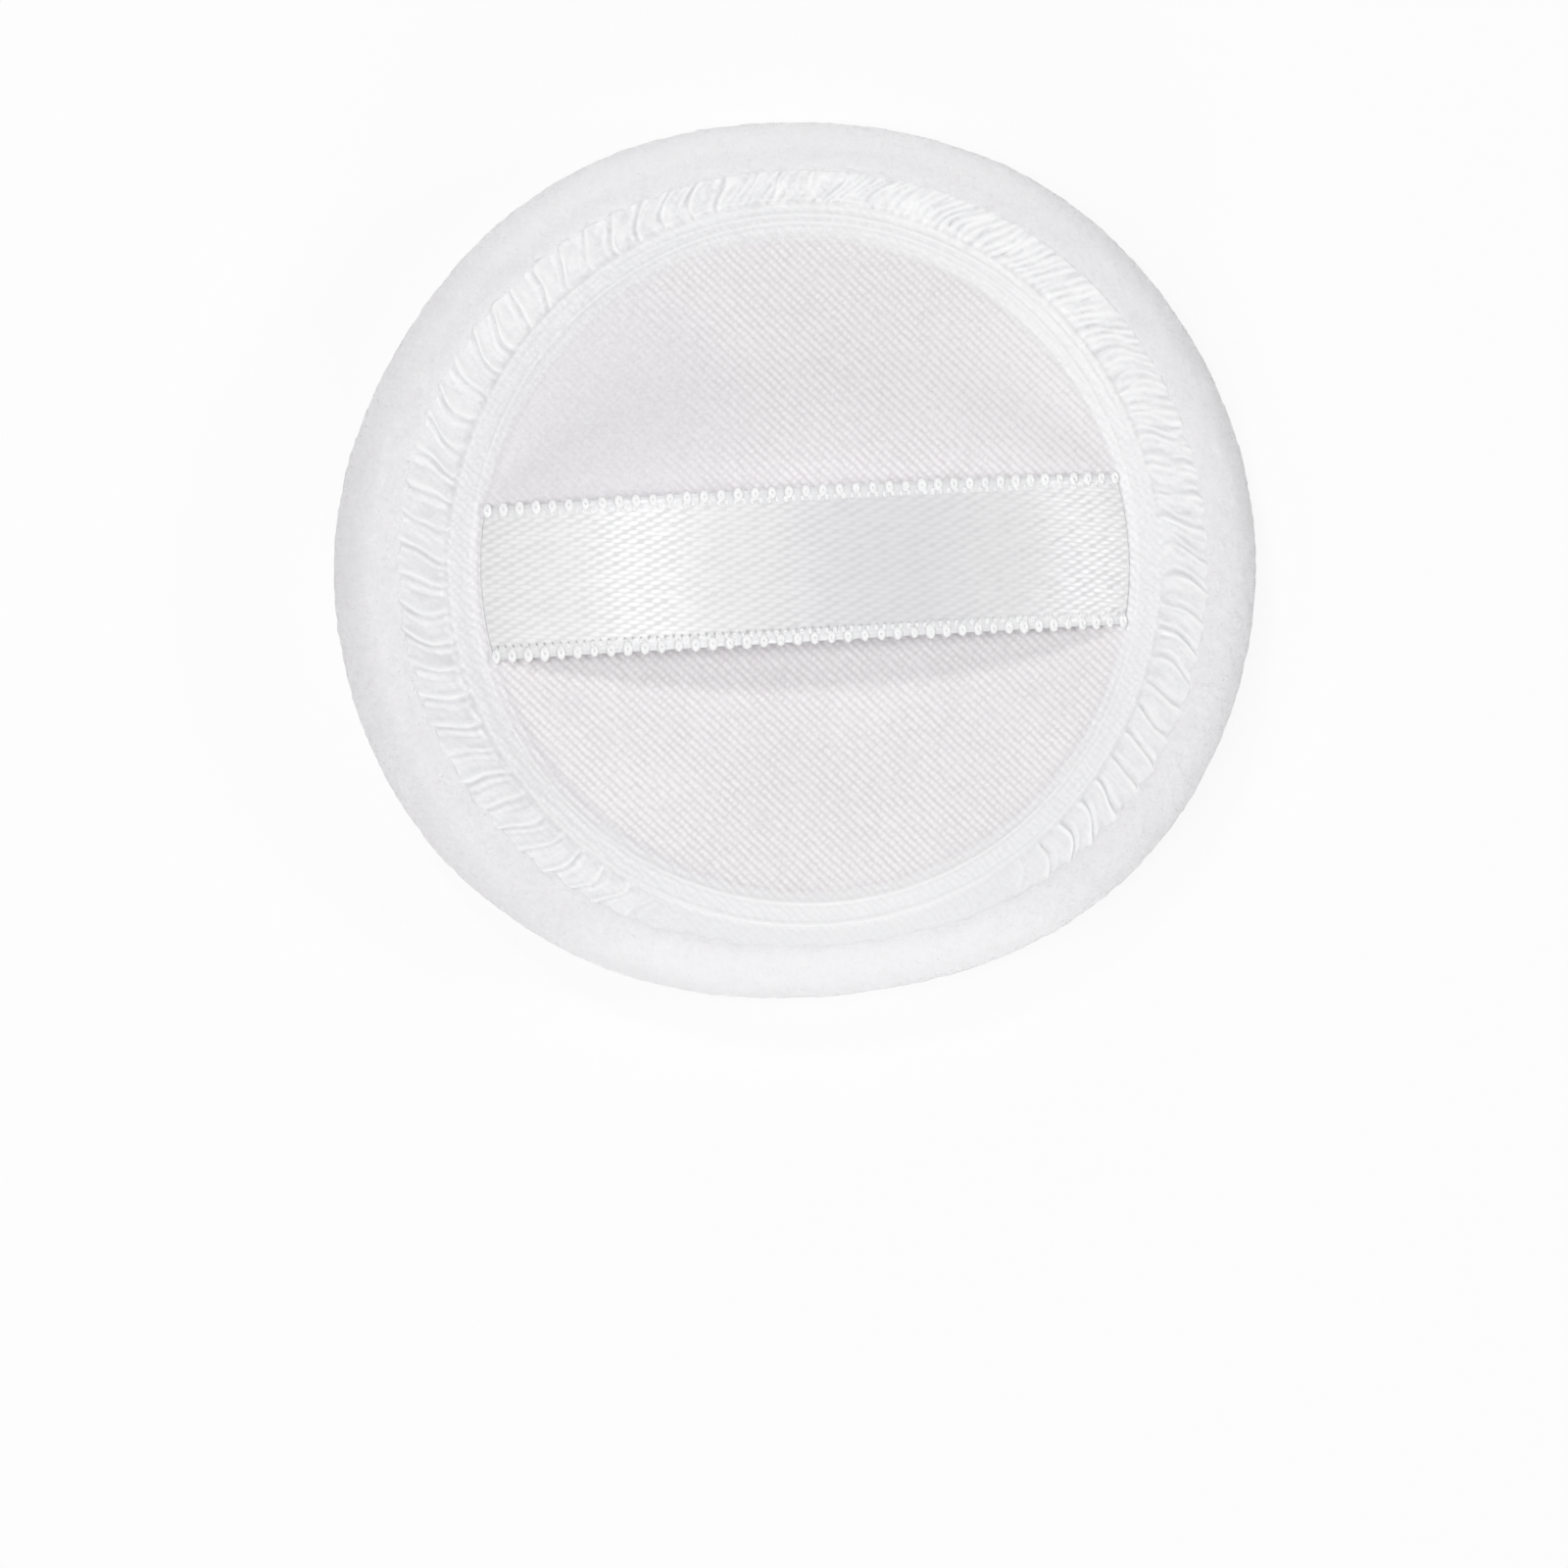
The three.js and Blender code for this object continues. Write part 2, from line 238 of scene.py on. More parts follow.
def put_node(tree, kind, settings=(), *values, **inputs):
    """Adds a node, with values for its inputs in order or by name, and gives its outputs as
    amounts by number and by name."""
    node = tree.nodes.new(kind)
    for label, value in dict(settings).items():
        setattr(node, label, value)
    for value, socket in zip(values, [s for s in node.inputs if s.enabled]):
        feed(value, socket)
    for label, value in inputs.items():
        feed(value, node.inputs[label.replace("_", " ")])
    given = [Amount(s) for s in node.outputs if s.enabled]
    return dict(enumerate(given)) | {amount.socket.name: amount for amount in given}


def maths(operation, *values, kind="ShaderNodeMath"):
    """A Math node on amounts and plain numbers."""
    tree = next(value.tree for value in values if isinstance(value, Amount))
    return put_node(tree, kind, {"operation": operation}, *values)[0]


def new_material(name, colour, roughness, **constants):
    """A Principled material with its constants set, its shader and the place on the piece."""
    material = bpy.data.materials.new(name)
    material.use_nodes = True
    shader = material.node_tree.nodes["Principled BSDF"]
    shader.inputs["Base Color"].default_value = (*colour, 1)
    shader.inputs["Roughness"].default_value = roughness
    for label, value in constants.items():
        shader.inputs[label.replace("_", " ")].default_value = value
    return material, shader, put_node(material.node_tree, "ShaderNodeTexCoord")["Object"]


def blend(share, *colours):
    """A colour that runs from a first one to a second with a mask."""
    ends = [(*colour, 1) if isinstance(colour, tuple) else colour for colour in colours]
    return put_node(share.tree, "ShaderNodeMix", {"data_type": "RGBA"}, share, *ends)[0]


def paint(shader, colour):
    feed(colour, shader.inputs["Base Color"])


def raise_bump(shader, height, depth):
    """Bump of a depth in millimetres."""
    bump = put_node(shader.id_data, "ShaderNodeBump", Strength=1, Height=height,
                    Distance=depth * millimetre)
    feed(bump[0], shader.inputs["Normal"])


foam_material, shader, place = new_material("open-cell foam", (0.88, 0.86, 0.76), 0.95)
cells = put_node(place.tree, "ShaderNodeTexVoronoi", Vector=place, Scale=1800)["Distance"]
# Painted shade: each pore is darker towards its middle, where the bump sinks it.
paint(shader, blend(cells, (0.62, 0.59, 0.49), (0.9, 0.88, 0.79)))
raise_bump(shader, cells, 0.2)

inset = velour_thickness + layer_gap
foam_profile = along_profile([
    (0, inset),
    (foot_radius, inset),
    *rim_arc(inset, -90, 50, rim_steps),
    (rim_centre_radius, allowance_bottom(rim_centre_radius) - layer_gap),
    (allowance_inner - layer_gap, allowance_bottom(allowance_inner) - layer_gap),
    (bead_radius - bead_diameter / 2, foam_top),
    (0, foam_top),
], foam_step)
foam_rows = [round_row(r, z, foam_columns if r > foam_middle else middle_columns)
             for r, z in foam_profile]
foam_points = draw_in(np.concatenate(foam_rows))
pores = np.random.default_rng(pore_seed).uniform(-pore_depth, 0, len(foam_points))
foam_points *= (1 + pores / np.maximum(np.linalg.norm(foam_points, axis=1), pore_reach))[:, None]
foam = make_piece("foam_round", foam_points, skin_through(foam_rows), foam_material)
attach(foam, "root")
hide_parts("foam_core")


# Velour cover. A round of short-pile velour that makes the whole application face and wraps
# round the rim to the seam, where its allowance is turned in under the satin. It is drawn
# tight over the foam by that seam, so its rim swells between the seam and the foot.
wall_inset = 0.16
lip_round = 0.28
lip_curve = ((0.55, 0.12), (0.2, 0.4), (0, 0.9))
roll_steps = 48
dome_steps = 12
pleat_count = 82
swell_pressure = 0.2
swell_cap = 0.4
swell_frames = 20
start_inset = 0.1
form_columns = 144
form_step = 1.3
model_scale = 10
cap_radii = (32, 24, 16, 8)
held_rows = 3
held_share = 0.85
held_height = 1
pile_step = 0.365
pile_columns = ((18, 768), (9, 384), (4.5, 192), (2, 96), (0, middle_columns))
outline_lobes = ((0.35, 0, 30), (0.15, 50, 20), (0.25, 183, 22), (-0.2, 90, 20), (-0.5, 148, 18),
                 (-0.1, 228, 20), (-0.6, 270, 24))
outline_reach = 2.5
seam_waves = ((0.1, pleat_count, 0), (0.07, 31, 1), (0.07, 53, 2))
seam_pull = 0.14
seam_reach = 1.4
bare_edge = 1.1
nap_rise = 1.2
wall_columns = 192
wall_middle = 8
wall_step = 1.2
seam_wall = satin_edge - wall_inset


def outer_profile(shrink):
    """The cover's section from the middle of the face round the rim and down to the seam."""
    lip_angle = math.degrees(math.acos((seam_wall + lip_round - rim_centre_radius) / rim_radius))
    roll = rim_arc(shrink, -90, lip_angle, roll_steps)
    dome = [(r, crown_rise * (r / rim_centre_radius) ** 2 - foot_cut + shrink)
            for r in np.linspace(foot_radius, rim_centre_radius, dome_steps)[1:-1]]
    lip = [(seam_wall + lip_round * out, roll[-1][1] - lip_round * down) for out, down in lip_curve]
    return [(0, shrink), (foot_radius, shrink), *dome, *roll, *lip, (seam_wall, allowance_top(seam_wall))]


def swell_by_cloth(points, faces, held):
    """Blows a closed skin up a little as cloth, ten times its size; returns how far it moved."""
    mesh = bpy.data.meshes.new("cover form")
    mesh.from_pydata([tuple(p) for p in points * millimetre * model_scale], [], faces)
    form = add_object("cover form", mesh)
    group = form.vertex_groups.new(name="held")
    group.add([int(k) for k in np.nonzero(held)[0]], 1.0, "REPLACE")
    cloth = form.modifiers.new("cloth", "CLOTH")
    cloth.settings.quality = 6
    cloth.settings.use_pressure = True
    cloth.settings.uniform_pressure_force = swell_pressure
    cloth.settings.vertex_group_mass = "held"
    cloth.settings.effector_weights.gravity = 0
    cloth.collision_settings.use_collision = False
    cloth.point_cache.frame_start, cloth.point_cache.frame_end = 1, swell_frames
    scene = bpy.context.scene
    for step in range(1, swell_frames + 1):
        scene.frame_set(step)
    swollen = form.evaluated_get(bpy.context.evaluated_depsgraph_get()).to_mesh()
    moved = np.zeros(len(points) * 3)
    swollen.vertices.foreach_get("co", moved)
    moved = moved.reshape(-1, 3) / (millimetre * model_scale) - points
    scene.frame_set(1)
    bpy.data.objects.remove(form)
    bpy.data.meshes.remove(mesh)
    return moved


def run_along(line):
    """How far each point of a line is from its start, along the line."""
    return np.concatenate([[0], np.cumsum([math.dist(a, b) for a, b in zip(line, line[1:])])])


def spline_weight(t):
    """The cubic B-spline's weight at a distance of t grid steps."""
    return np.where(t < 1, (4 - 6 * t ** 2 + 3 * t ** 3) / 6, np.where(t < 2, (2 - t) ** 3 / 6, 0))


def swell_at(share, angle):
    """How far the cloth moved at a share of the section's length and an angle, smoothly."""
    u = np.interp(share * form_length[-1], form_length, np.arange(len(form_length)))
    v = angle / (2 * np.pi) * form_columns
    total = np.zeros((len(u), 3))
    for du in range(-1, 3):
        for dv in range(-1, 3):
            i, j = np.floor(u) + du, np.floor(v) + dv
            weight = spline_weight(np.abs(u - i)) * spline_weight(np.abs(v - j))
            row = np.clip(i, 0, len(form_length) - 1).astype(int)
            total += weight[:, None] * swell_grid[row, (j % form_columns).astype(int)]
    return total


def hump(off, width):
    """1 where nothing is off, falling off over a width."""
    return np.exp(-(off / width) ** 2)


def near_turn(angle, middle, width):
    """1 at a direction in degrees, falling off over a width."""
    return hump((np.degrees(angle) - middle + 180) % 360 - 180, width)


def lobes(angle, table):
    """A sum of swells, each with an amount, a direction and a width in degrees."""
    return sum(amount * near_turn(angle, middle, width) for amount, middle, width in table)


form_profile = along_profile(outer_profile(start_inset), form_step)
form_rows = [round_row(r, z, form_columns) for r, z in form_profile[1:]]
cap_rows = [round_row(r, allowance_top(seam_wall), form_columns) for r in cap_radii]
closed_rows = [round_row(0, start_inset, 1), *form_rows, *cap_rows,
               round_row(0, allowance_top(seam_wall), 1)]
form_points = draw_in(np.concatenate(closed_rows))
form_radius = np.hypot(form_points[:, 0], form_points[:, 1])
first_held = 1 + form_columns * (len(form_rows) - held_rows)
held = (np.arange(len(form_points)) >= first_held) | (
    (form_radius < foot_radius * held_share) & (form_points[:, 2] < held_height))
swollen = swell_by_cloth(form_points, skin_through(closed_rows), held)
length = np.linalg.norm(swollen, axis=1)
swollen *= (swell_cap * np.tanh(length / swell_cap) / np.maximum(length, 1e-9))[:, None]
swell_grid = swollen[1:1 + form_columns * len(form_rows)].reshape(len(form_rows), form_columns, 3)
swell_grid = np.concatenate([np.broadcast_to(swollen[0], (1, form_columns, 3)), swell_grid])
form_length = run_along(form_profile)

profile = along_profile(outer_profile(start_inset), pile_step)
length = run_along(profile)
pile_rows, naps = [], []
for (r, z), share in zip(profile, length / length[-1]):
    row = round_row(r, z, next(count for limit, count in pile_columns if r >= limit))
    angle = np.arctan2(row[:, 1], row[:, 0]) % (2 * np.pi)
    row = draw_in(row) + swell_at(np.full(len(row), share), angle)
    outwards = lobes(angle, outline_lobes) + 0.05 * np.sin(7 * angle + 1)
    outwards *= np.clip((r - foot_radius) / (rim_centre_radius - foot_radius), 0, 1)
    if z > rim_centre_height:
        outwards *= np.clip((r - seam_wall) / outline_reach, 0, 1)
        pulled = sum(wave * np.sin(count * angle + turn) for wave, count, turn in seam_waves) - seam_pull
        outwards += pulled * np.clip(1 - (r - seam_wall) / seam_reach, 0, 1)
    row[:, :2] *= (1 + outwards / max(r, 1e-6))[:, None]
    row[:, 2] = np.maximum(row[:, 2], 0)
    pile_rows.append(row)
    naps.append(np.full(len(row), np.clip((length[-1] - share * length[-1] - bare_edge) / nap_rise, 0, 1)))
inner_profile = along_profile([
    (allowance_inner, allowance_top(allowance_inner)),
    (allowance_inner, allowance_bottom(allowance_inner)),
    (rim_centre_radius, allowance_bottom(rim_centre_radius)),
    *rim_arc(velour_thickness, 50, -90, rim_steps),
    (foot_radius, velour_thickness),
    (0, velour_thickness),
], wall_step)
for r, z in inner_profile:
    pile_rows.append(draw_in(round_row(r, z, wall_columns if r > wall_middle else middle_columns)))
    naps.append(np.zeros(len(pile_rows[-1])))


def start_tree(name, kind, sizes, main, output):
    """An empty node tree with a main input, named sizes and an output."""
    tree = bpy.data.node_groups.new(name, kind + "NodeTree")
    for way, (label, socket_kind) in (("INPUT", main), *(("INPUT", (size, "Float")) for size in sizes),
                                      ("OUTPUT", output)):
        socket = tree.interface.new_socket(label, in_out=way, socket_type="NodeSocket" + socket_kind)
        if label in sizes:
            socket.default_value = sizes[label]
    return tree, put_node(tree, "NodeGroupInput"), tree.nodes.new("NodeGroupOutput").inputs[0]


def start_group(name, **sizes):
    """A shader group that takes a place and sizes and gives one value."""
    sizes = {label.replace("_", " "): value for label, value in sizes.items()}
    return start_tree(name, "Shader", sizes, ("Place", "Vector"), ("Value", "Float"))


def put_group(group, place, **sizes):
    return put_node(place.tree, "ShaderNodeGroup", {"node_tree": group}, Place=place, **sizes)[0]


def vector_maths(operation, *values):
    return maths(operation, *values, kind="ShaderNodeVectorMath")


def apart(vector):
    parts = put_node(vector.tree, "ShaderNodeSeparateXYZ", (), vector)
    return parts["X"], parts["Y"], parts["Z"]


def from_rings(place):
    """How far a place is from the middle of the rings, in metres."""
    x, y, z = apart(place)
    y = y + middle_shift * millimetre
    return maths("SQRT", x * x + y * y)


grain_group, taken, given = start_group("fibre grain", Per_Millimetre=1.0, Roughen=0.5)
scaled = vector_maths("SCALE", taken["Place"], taken["Per Millimetre"] * 1000)
noise = put_node(grain_group, "ShaderNodeTexNoise", Vector=scaled, Scale=1, Detail=3,
                 Roughness=taken["Roughen"])
feed(noise[0], given)


def grain(place, per_millimetre, roughen):
    return put_group(grain_group, place, Per_Millimetre=per_millimetre, Roughen=roughen)


velour_material, shader, place = new_material("short velour pile", (0.9, 0.9, 0.91), 1.0, Sheen_Weight=0.2,
                                              Sheen_Roughness=0.5, Specular_IOR_Level=0.1)
fine = grain(place, 2.2, 0.65)
x, y, z = apart(place)
# Painted light: the velour is lighter towards the front and the back of the rim, with a lighter band along
# the rim's crown that is strongest at its upper left.
painted_front_light = maths("MAXIMUM", (y * -1 - 0.029) * 110, 0)
painted_back_light = maths("MAXIMUM", (y - 0.026) * 32, 0)
painted_rim_light = maths("MAXIMUM", 1 - abs(from_rings(place) - 0.0374) / 0.0016, 0)
rim_light_strength = 0.22 + maths("MAXIMUM", (y - x * 0.5) * 7, -0.13)
tone = fine * 0.9 + grain(place, 0.3, 0.5) * 0.4 + painted_front_light + painted_back_light + painted_rim_light * rim_light_strength
paint(shader, blend(tone - 0.15, (0.84, 0.828, 0.848), (0.985, 0.974, 0.99)))
raise_bump(shader, fine, 0.15)

nap_sizes = {"Tuft Size": 0.0008, "Tuft Depth": 0.00022, "Streak Spacing": 0.002, "Streak Depth": 0.00025}
fibre_sizes = {"Tufts per Square Metre": 22e6, "Length": 0.0005, "Width": 0.00009, "Lean": 0.6,
               "Lowest": -1.0, "Highest": 1.0}
foot_height = rim_low + 0.6
fibre_bands = (("velour_pile_upper", rim_centre_height, face_height, 25e6, 1),
               ("velour_pile_rim", foot_height, rim_centre_height, 22e6, 2),
               ("velour_pile_face", 0.2, foot_height, 12e6, 3))


def open_tree(name, sizes):
    return start_tree(name, "Geometry", sizes, ("Geometry", "Geometry"), ("Geometry", "Geometry"))


def close_tree(geometry, material, given):
    """Ends a tree in real geometry of one material."""
    real = put_node(geometry.tree, "GeometryNodeRealizeInstances", (), geometry)[0]
    feed(put_node(geometry.tree, "GeometryNodeSetMaterial", Geometry=real, Material=material)[0], given)


def plain_mesh(thing):
    return bpy.data.meshes.new_from_object(thing.evaluated_get(bpy.context.evaluated_depsgraph_get()))


def apply_tree(tree, base, sizes, name, material):
    """Runs a tree on an object and returns the result as a plain piece."""
    modifier = base.modifiers.new(name, "NODES")
    modifier.node_group = tree
    for item in tree.interface.items_tree:
        if item.in_out == "INPUT" and item.name in sizes:
            modifier[item.identifier] = sizes[item.name]
    mesh = plain_mesh(base)
    base.modifiers.remove(modifier)
    mesh.name = name
    finish_mesh(mesh, material)
    return add_object(name, mesh)


def mark_points(piece, label, values):
    """Gives each point of a piece a number that a tree or a material reads."""
    attribute = piece.data.attributes.new(label, "FLOAT", "POINT")
    attribute.data.foreach_set("value", values.astype(np.float32))


def read_nap(tree):
    return put_node(tree, "GeometryNodeInputNamedAttribute", {"data_type": "FLOAT"}, Name="nap")[0]


nap_tree, taken, given = open_tree("velour nap", nap_sizes)
position = put_node(nap_tree, "GeometryNodeInputPosition")[0]
tufts = put_node(nap_tree, "ShaderNodeTexVoronoi", {"feature": "SMOOTH_F1"}, Vector=position,
                 Scale=1 / taken["Tuft Size"], Smoothness=0.6)["Distance"]
turned = put_node(nap_tree, "ShaderNodeVectorRotate", Vector=position, Angle=math.radians(35))[0]
combed = vector_maths("MULTIPLY", turned, (0.22, 1.0, 0.6))
streaks = put_node(nap_tree, "ShaderNodeTexNoise", Vector=combed, Detail=2,
                   Scale=1 / taken["Streak Spacing"])[0]
sunk = (tufts * taken["Tuft Depth"] + streaks * taken["Streak Depth"]) * read_nap(nap_tree)
offset = vector_maths("SCALE", put_node(nap_tree, "GeometryNodeInputNormal")[0], sunk * -1)
moved = put_node(nap_tree, "GeometryNodeSetPosition", Geometry=taken["Geometry"], Offset=offset)
close_tree(moved[0], velour_material, given)

cover_form = make_piece("cover_smooth", np.concatenate(pile_rows), skin_through(pile_rows), velour_material)
mark_points(cover_form, "nap", np.concatenate(naps))
cover = apply_tree(nap_tree, cover_form, nap_sizes, "velour_round", velour_material)
bpy.data.objects.remove(cover_form)

fibre_tree, taken, given = open_tree("pile fibres", fibre_sizes)
height = apart(put_node(fibre_tree, "GeometryNodeInputPosition")[0])[2]
covered = (maths("GREATER_THAN", height, taken["Lowest"]) * maths("LESS_THAN", height, taken["Highest"])
           * maths("GREATER_THAN", read_nap(fibre_tree), 0.02))
scatter = put_node(fibre_tree, "GeometryNodeDistributePointsOnFaces", {"name": "scatter"},
                   Mesh=taken["Geometry"], Density=covered * taken["Tufts per Square Metre"])
stray = put_node(fibre_tree, "FunctionNodeRandomValue", {"data_type": "FLOAT_VECTOR"},
                 (-1, -1, -1), (1, 1, 1))[0]
stand = vector_maths("ADD", scatter["Normal"], vector_maths("SCALE", stray, taken["Lean"]))
aligned = put_node(fibre_tree, "FunctionNodeAlignRotationToVector", {"axis": "Z"}, Vector=stand)[0]
spike = put_node(fibre_tree, "GeometryNodeMeshCone", {"fill_type": "NONE"}, Vertices=3,
                 Radius_Bottom=taken["Width"], Depth=taken["Length"])["Mesh"]
grade = put_node(fibre_tree, "FunctionNodeRandomValue", (), 0.5, 1.1)[0]
placed = put_node(fibre_tree, "GeometryNodeInstanceOnPoints", Points=scatter["Points"], Instance=spike,
                  Rotation=aligned, Scale=grade)[0]
close_tree(placed, velour_material, given)
for name, low, high, density, seed in fibre_bands:
    sizes = dict(fibre_sizes, Lowest=low * millimetre, Highest=high * millimetre)
    sizes["Tufts per Square Metre"] = density
    tree = fibre_tree.copy()
    tree.nodes["scatter"].inputs["Seed"].default_value = seed
    grown = apply_tree(tree, cover, sizes, name, velour_material)
    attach(grown, "root")
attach(cover, "root")
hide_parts("velour_cover")


# Overlock thread. Two polyester threads from an overlock machine: one zigzags from the needle
# line to the cut edge under every pleat, the other rolls over that edge as a bead. It was
# sewn through satin and velour with their right sides together, then turned inside.
needle_inset = 0.3
needle_radius = satin_edge - needle_inset
needle_columns = 328
pleat_skew = math.radians(2.7)
lean_power = 1.7
crossing_inner = bead_radius + 0.35
crossing_steps = 9
return_drop = 0.03
bead_turns = pleat_count * 3
bead_steps = 8
bead_reach, bead_rise = 0.22, 0.2
overlock_sides = 6

thread_material, shader, place = new_material("twisted polyester thread", (0.9, 0.9, 0.91), 0.55,
                                              Sheen_Weight=0.15)
fuzz = grain(place, 6, 0.6)
paint(shader, blend(fuzz, (0.8, 0.8, 0.82), (0.95, 0.95, 0.96)))
raise_bump(shader, fuzz, 0.06)


def lean_at(radius):
    """How far a pleat has leaned back round the ring: more quickly near its outer end."""
    return -pleat_skew * np.clip((radius - pleat_inner) / pleat_width, 0, 1) ** lean_power


def thread_path(name, points, cyclic=False):
    """A poly curve of one spline, already in its place."""
    curve = bpy.data.curves.new(name, "CURVE")
    curve.dimensions = "3D"
    spline = curve.splines.new("POLY")
    spline.points.add(len(points) - 1)
    placed = np.concatenate([into_place(points), np.ones((len(points), 1))], 1)
    spline.points.foreach_set("co", placed.ravel())
    spline.use_cyclic_u = cyclic
    return add_object(name, curve)


def circle(radius, sides):
    return put_node(radius.tree, "GeometryNodeCurvePrimitiveCircle", Resolution=sides, Radius=radius)[0]


def sweep(line, radius, sides, caps):
    """A round thread along a line."""
    return put_node(line.tree, "GeometryNodeCurveToMesh", Curve=line, Profile_Curve=circle(radius, sides),
                    Fill_Caps=caps)[0]


def space_evenly(path, gap):
    return put_node(path.tree, "GeometryNodeResampleCurve", {"mode": "LENGTH"}, Curve=path, Length=gap)[0]


thread_tree, taken, given = open_tree("thread along a path",
                                      {"Radius": 0.0002, "Sides": 8, "Point Gap": 0.0003})
even = space_evenly(taken["Geometry"], taken["Point Gap"])
close_tree(sweep(even, taken["Radius"], taken["Sides"], True), thread_material, given)


def run_thread(name, points, radius, gap, cyclic=False, sides=8):
    path = thread_path(name + "_path", points, cyclic)
    sizes = {"Radius": radius * millimetre, "Sides": float(sides), "Point Gap": gap * millimetre}
    thread = apply_tree(thread_tree, path, sizes, name, thread_material)
    bpy.data.objects.remove(path)
    return thread


def merge_pieces(name, pieces):
    """Joins finished meshes into the first one, under one name."""
    with bpy.context.temp_override(active_object=pieces[0], selected_editable_objects=pieces,
                                   selected_objects=pieces, object=pieces[0]):
        bpy.ops.object.join()
    pieces[0].name = pieces[0].data.name = name
    return pieces[0]


def on_ring(radius, angle, height):
    return radius * math.cos(angle), radius * math.sin(angle), height


crossings = []
for k in range(pleat_count):
    turn = 2 * math.pi * k / pleat_count
    for radius in np.linspace(needle_radius, crossing_inner, crossing_steps):
        crossings.append(on_ring(radius, turn + lean_at(radius), thread_height(radius)))
    for radius in np.linspace(crossing_inner, needle_radius, crossing_steps)[1:]:
        share = (radius - bead_radius) / (needle_radius - bead_radius)
        angle = turn + lean_at(radius) + 2 * math.pi / pleat_count * (0.12 + 0.76 * share)
        crossings.append(on_ring(radius, angle, thread_height(radius) - return_drop))
bead_points = []
for k in range(bead_turns * bead_steps):
    turn = 2 * math.pi * k / (bead_turns * bead_steps)
    wind = 2 * math.pi * k / bead_steps
    bead_points.append(on_ring(bead_radius + bead_reach * math.cos(wind), turn,
                               thread_height(bead_radius) + bead_rise * math.sin(wind)))
needle_points = draw_in(round_row(needle_radius, thread_height(needle_radius) + 0.02, needle_columns))
overlock = merge_pieces("overlock_stitches", [
    run_thread("looper", draw_in(np.array(crossings)), 0.16, 0.5, True, overlock_sides),
    run_thread("bead", np.array(bead_points), 0.2, 0.24, True, overlock_sides),
    run_thread("needle", needle_points, 0.14, 0.6, True, overlock_sides),
])
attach(overlock, "root")
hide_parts("overlock_thread")


# Stiffener. A thin die-cut round of bonded fibre board under the satin. It lies loose on the
# foam, keeps the middle of the back flat and gives the satin its sharp round edge.
groove_width = 1.2
ridge_width = bead_diameter + 2 * ridge_slack
groove_radius = bead_radius - ridge_width / 2 - groove_width / 2
disc_radius = groove_radius - groove_width / 2
stiffener_radius = disc_radius - layer_gap
edge_round = 0.12
board_columns = 192
board_middle, board_middle_columns = 10, 64
board_step = 2.5

stiffener_material, shader, place = new_material("bonded fibre board", (0.84, 0.85, 0.87), 0.6)
fibres = grain(place, 2.5, 0.75)
paint(shader, blend(fibres, (0.72, 0.73, 0.75), (0.9, 0.91, 0.93)))
raise_bump(shader, fibres, 0.05)

edge = [(edge_round, 0), (edge_round * 0.3, edge_round * 0.3), (0, edge_round)]
stiffener_profile = along_profile([
    (0, stiffener_top - stiffener_thickness),
    *((stiffener_radius - inwards, stiffener_top - stiffener_thickness + up) for inwards, up in edge),
    *((stiffener_radius - inwards, stiffener_top - down) for inwards, down in reversed(edge)),
    (0, stiffener_top),
], board_step)
stiffener_rows = [round_row(r, z, board_columns if r > board_middle else board_middle_columns)
                  for r, z in stiffener_profile]
stiffener = make_piece("stiffener_round", np.concatenate(stiffener_rows), skin_through(stiffener_rows),
                       stiffener_material)
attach(stiffener, "root")
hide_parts("backing_stiffener")


# Satin back. A round of twill-faced polyester satin, sewn to the velour along its edge and
# gathered there into about 82 leaning folds over the overlock's cross threads. Inside them
# lie a groove, the ridge over the thread's bead, another groove and the flat disc.
groove_depth = 0.18
first_rib, second_rib = 29.0, 30.85
rib_width = 0.2
rib_rise = 0.16
rib_shine_width = 0.15
upper_ribs = ((30.2, 1), (31.9, 0.6), (28.05, 0.7))
valleys, valley_width = (27.95, 29.95, 31.85), 0.3
# Painted highlight and painted shade on the rings, folds and valleys: amount, direction in degrees and
# width of each lobe.
ring_shine = ((0.32, 270, 38), (0.42, 58, 45), (-0.12, 190, 50))
pleat_shine = ((0.25, 140, 25),)
valley_shade = ((0.22, 215, 40), (0.12, 320, 35))
broad_side = (48, 50)
calm_side = (271, 36)
pleat_drop = 0.28
pleat_edge_drop = 0.47
pleat_height = 0.32
fold_lip = 0.11
fold_shift = np.random.default_rng(5).uniform(0, 1, pleat_count)
fold_size = np.random.default_rng(3).uniform(0.7, 1.2, pleat_count)
crinkle_seed = 11
crinkle_depth = 0.05
cloth_thickness = 0.24
disc_columns = 164
disc_step = 1.5
disc_lines = (2.4, 1.2, 0.3)
ring_columns = 328
groove_lines = 26
fold_lines = 27
slit_steps = 12
slit_slack = 0.02
edge_turns = ((0.04, 0.12), (0.05, 0.6))
slit_inner, slit_outer = disc_radius - slit_slack, disc_radius + ribbon_thickness / 2 + 0.13
slit_angle = 360 / ring_columns * slit_steps
thin_fold = (-0.5, -0.36, -0.24, -0.16, -0.1, -0.06, -0.02, 0.01, 0.04, 0.07, 0.11, 0.16, 0.22, 0.28,
             0.34, 0.42)
even_fold = np.arange(len(thin_fold)) / len(thin_fold) - 0.5

weave_group, taken, given = start_group("float weave", Row=0.0006, Float=0.0005, Step=0.0, Slant=0.0,
                                        Row_Depth=0.5, Bind_Depth=0.5, Wander=0.0002)


def hollow_at_whole(value, depth):
    """1 between whole numbers, dipping by a depth at each of them."""
    swing = maths("COSINE", value * (2 * math.pi))
    return 1 - (swing * 0.5 + 0.5) ** 1.6 * depth


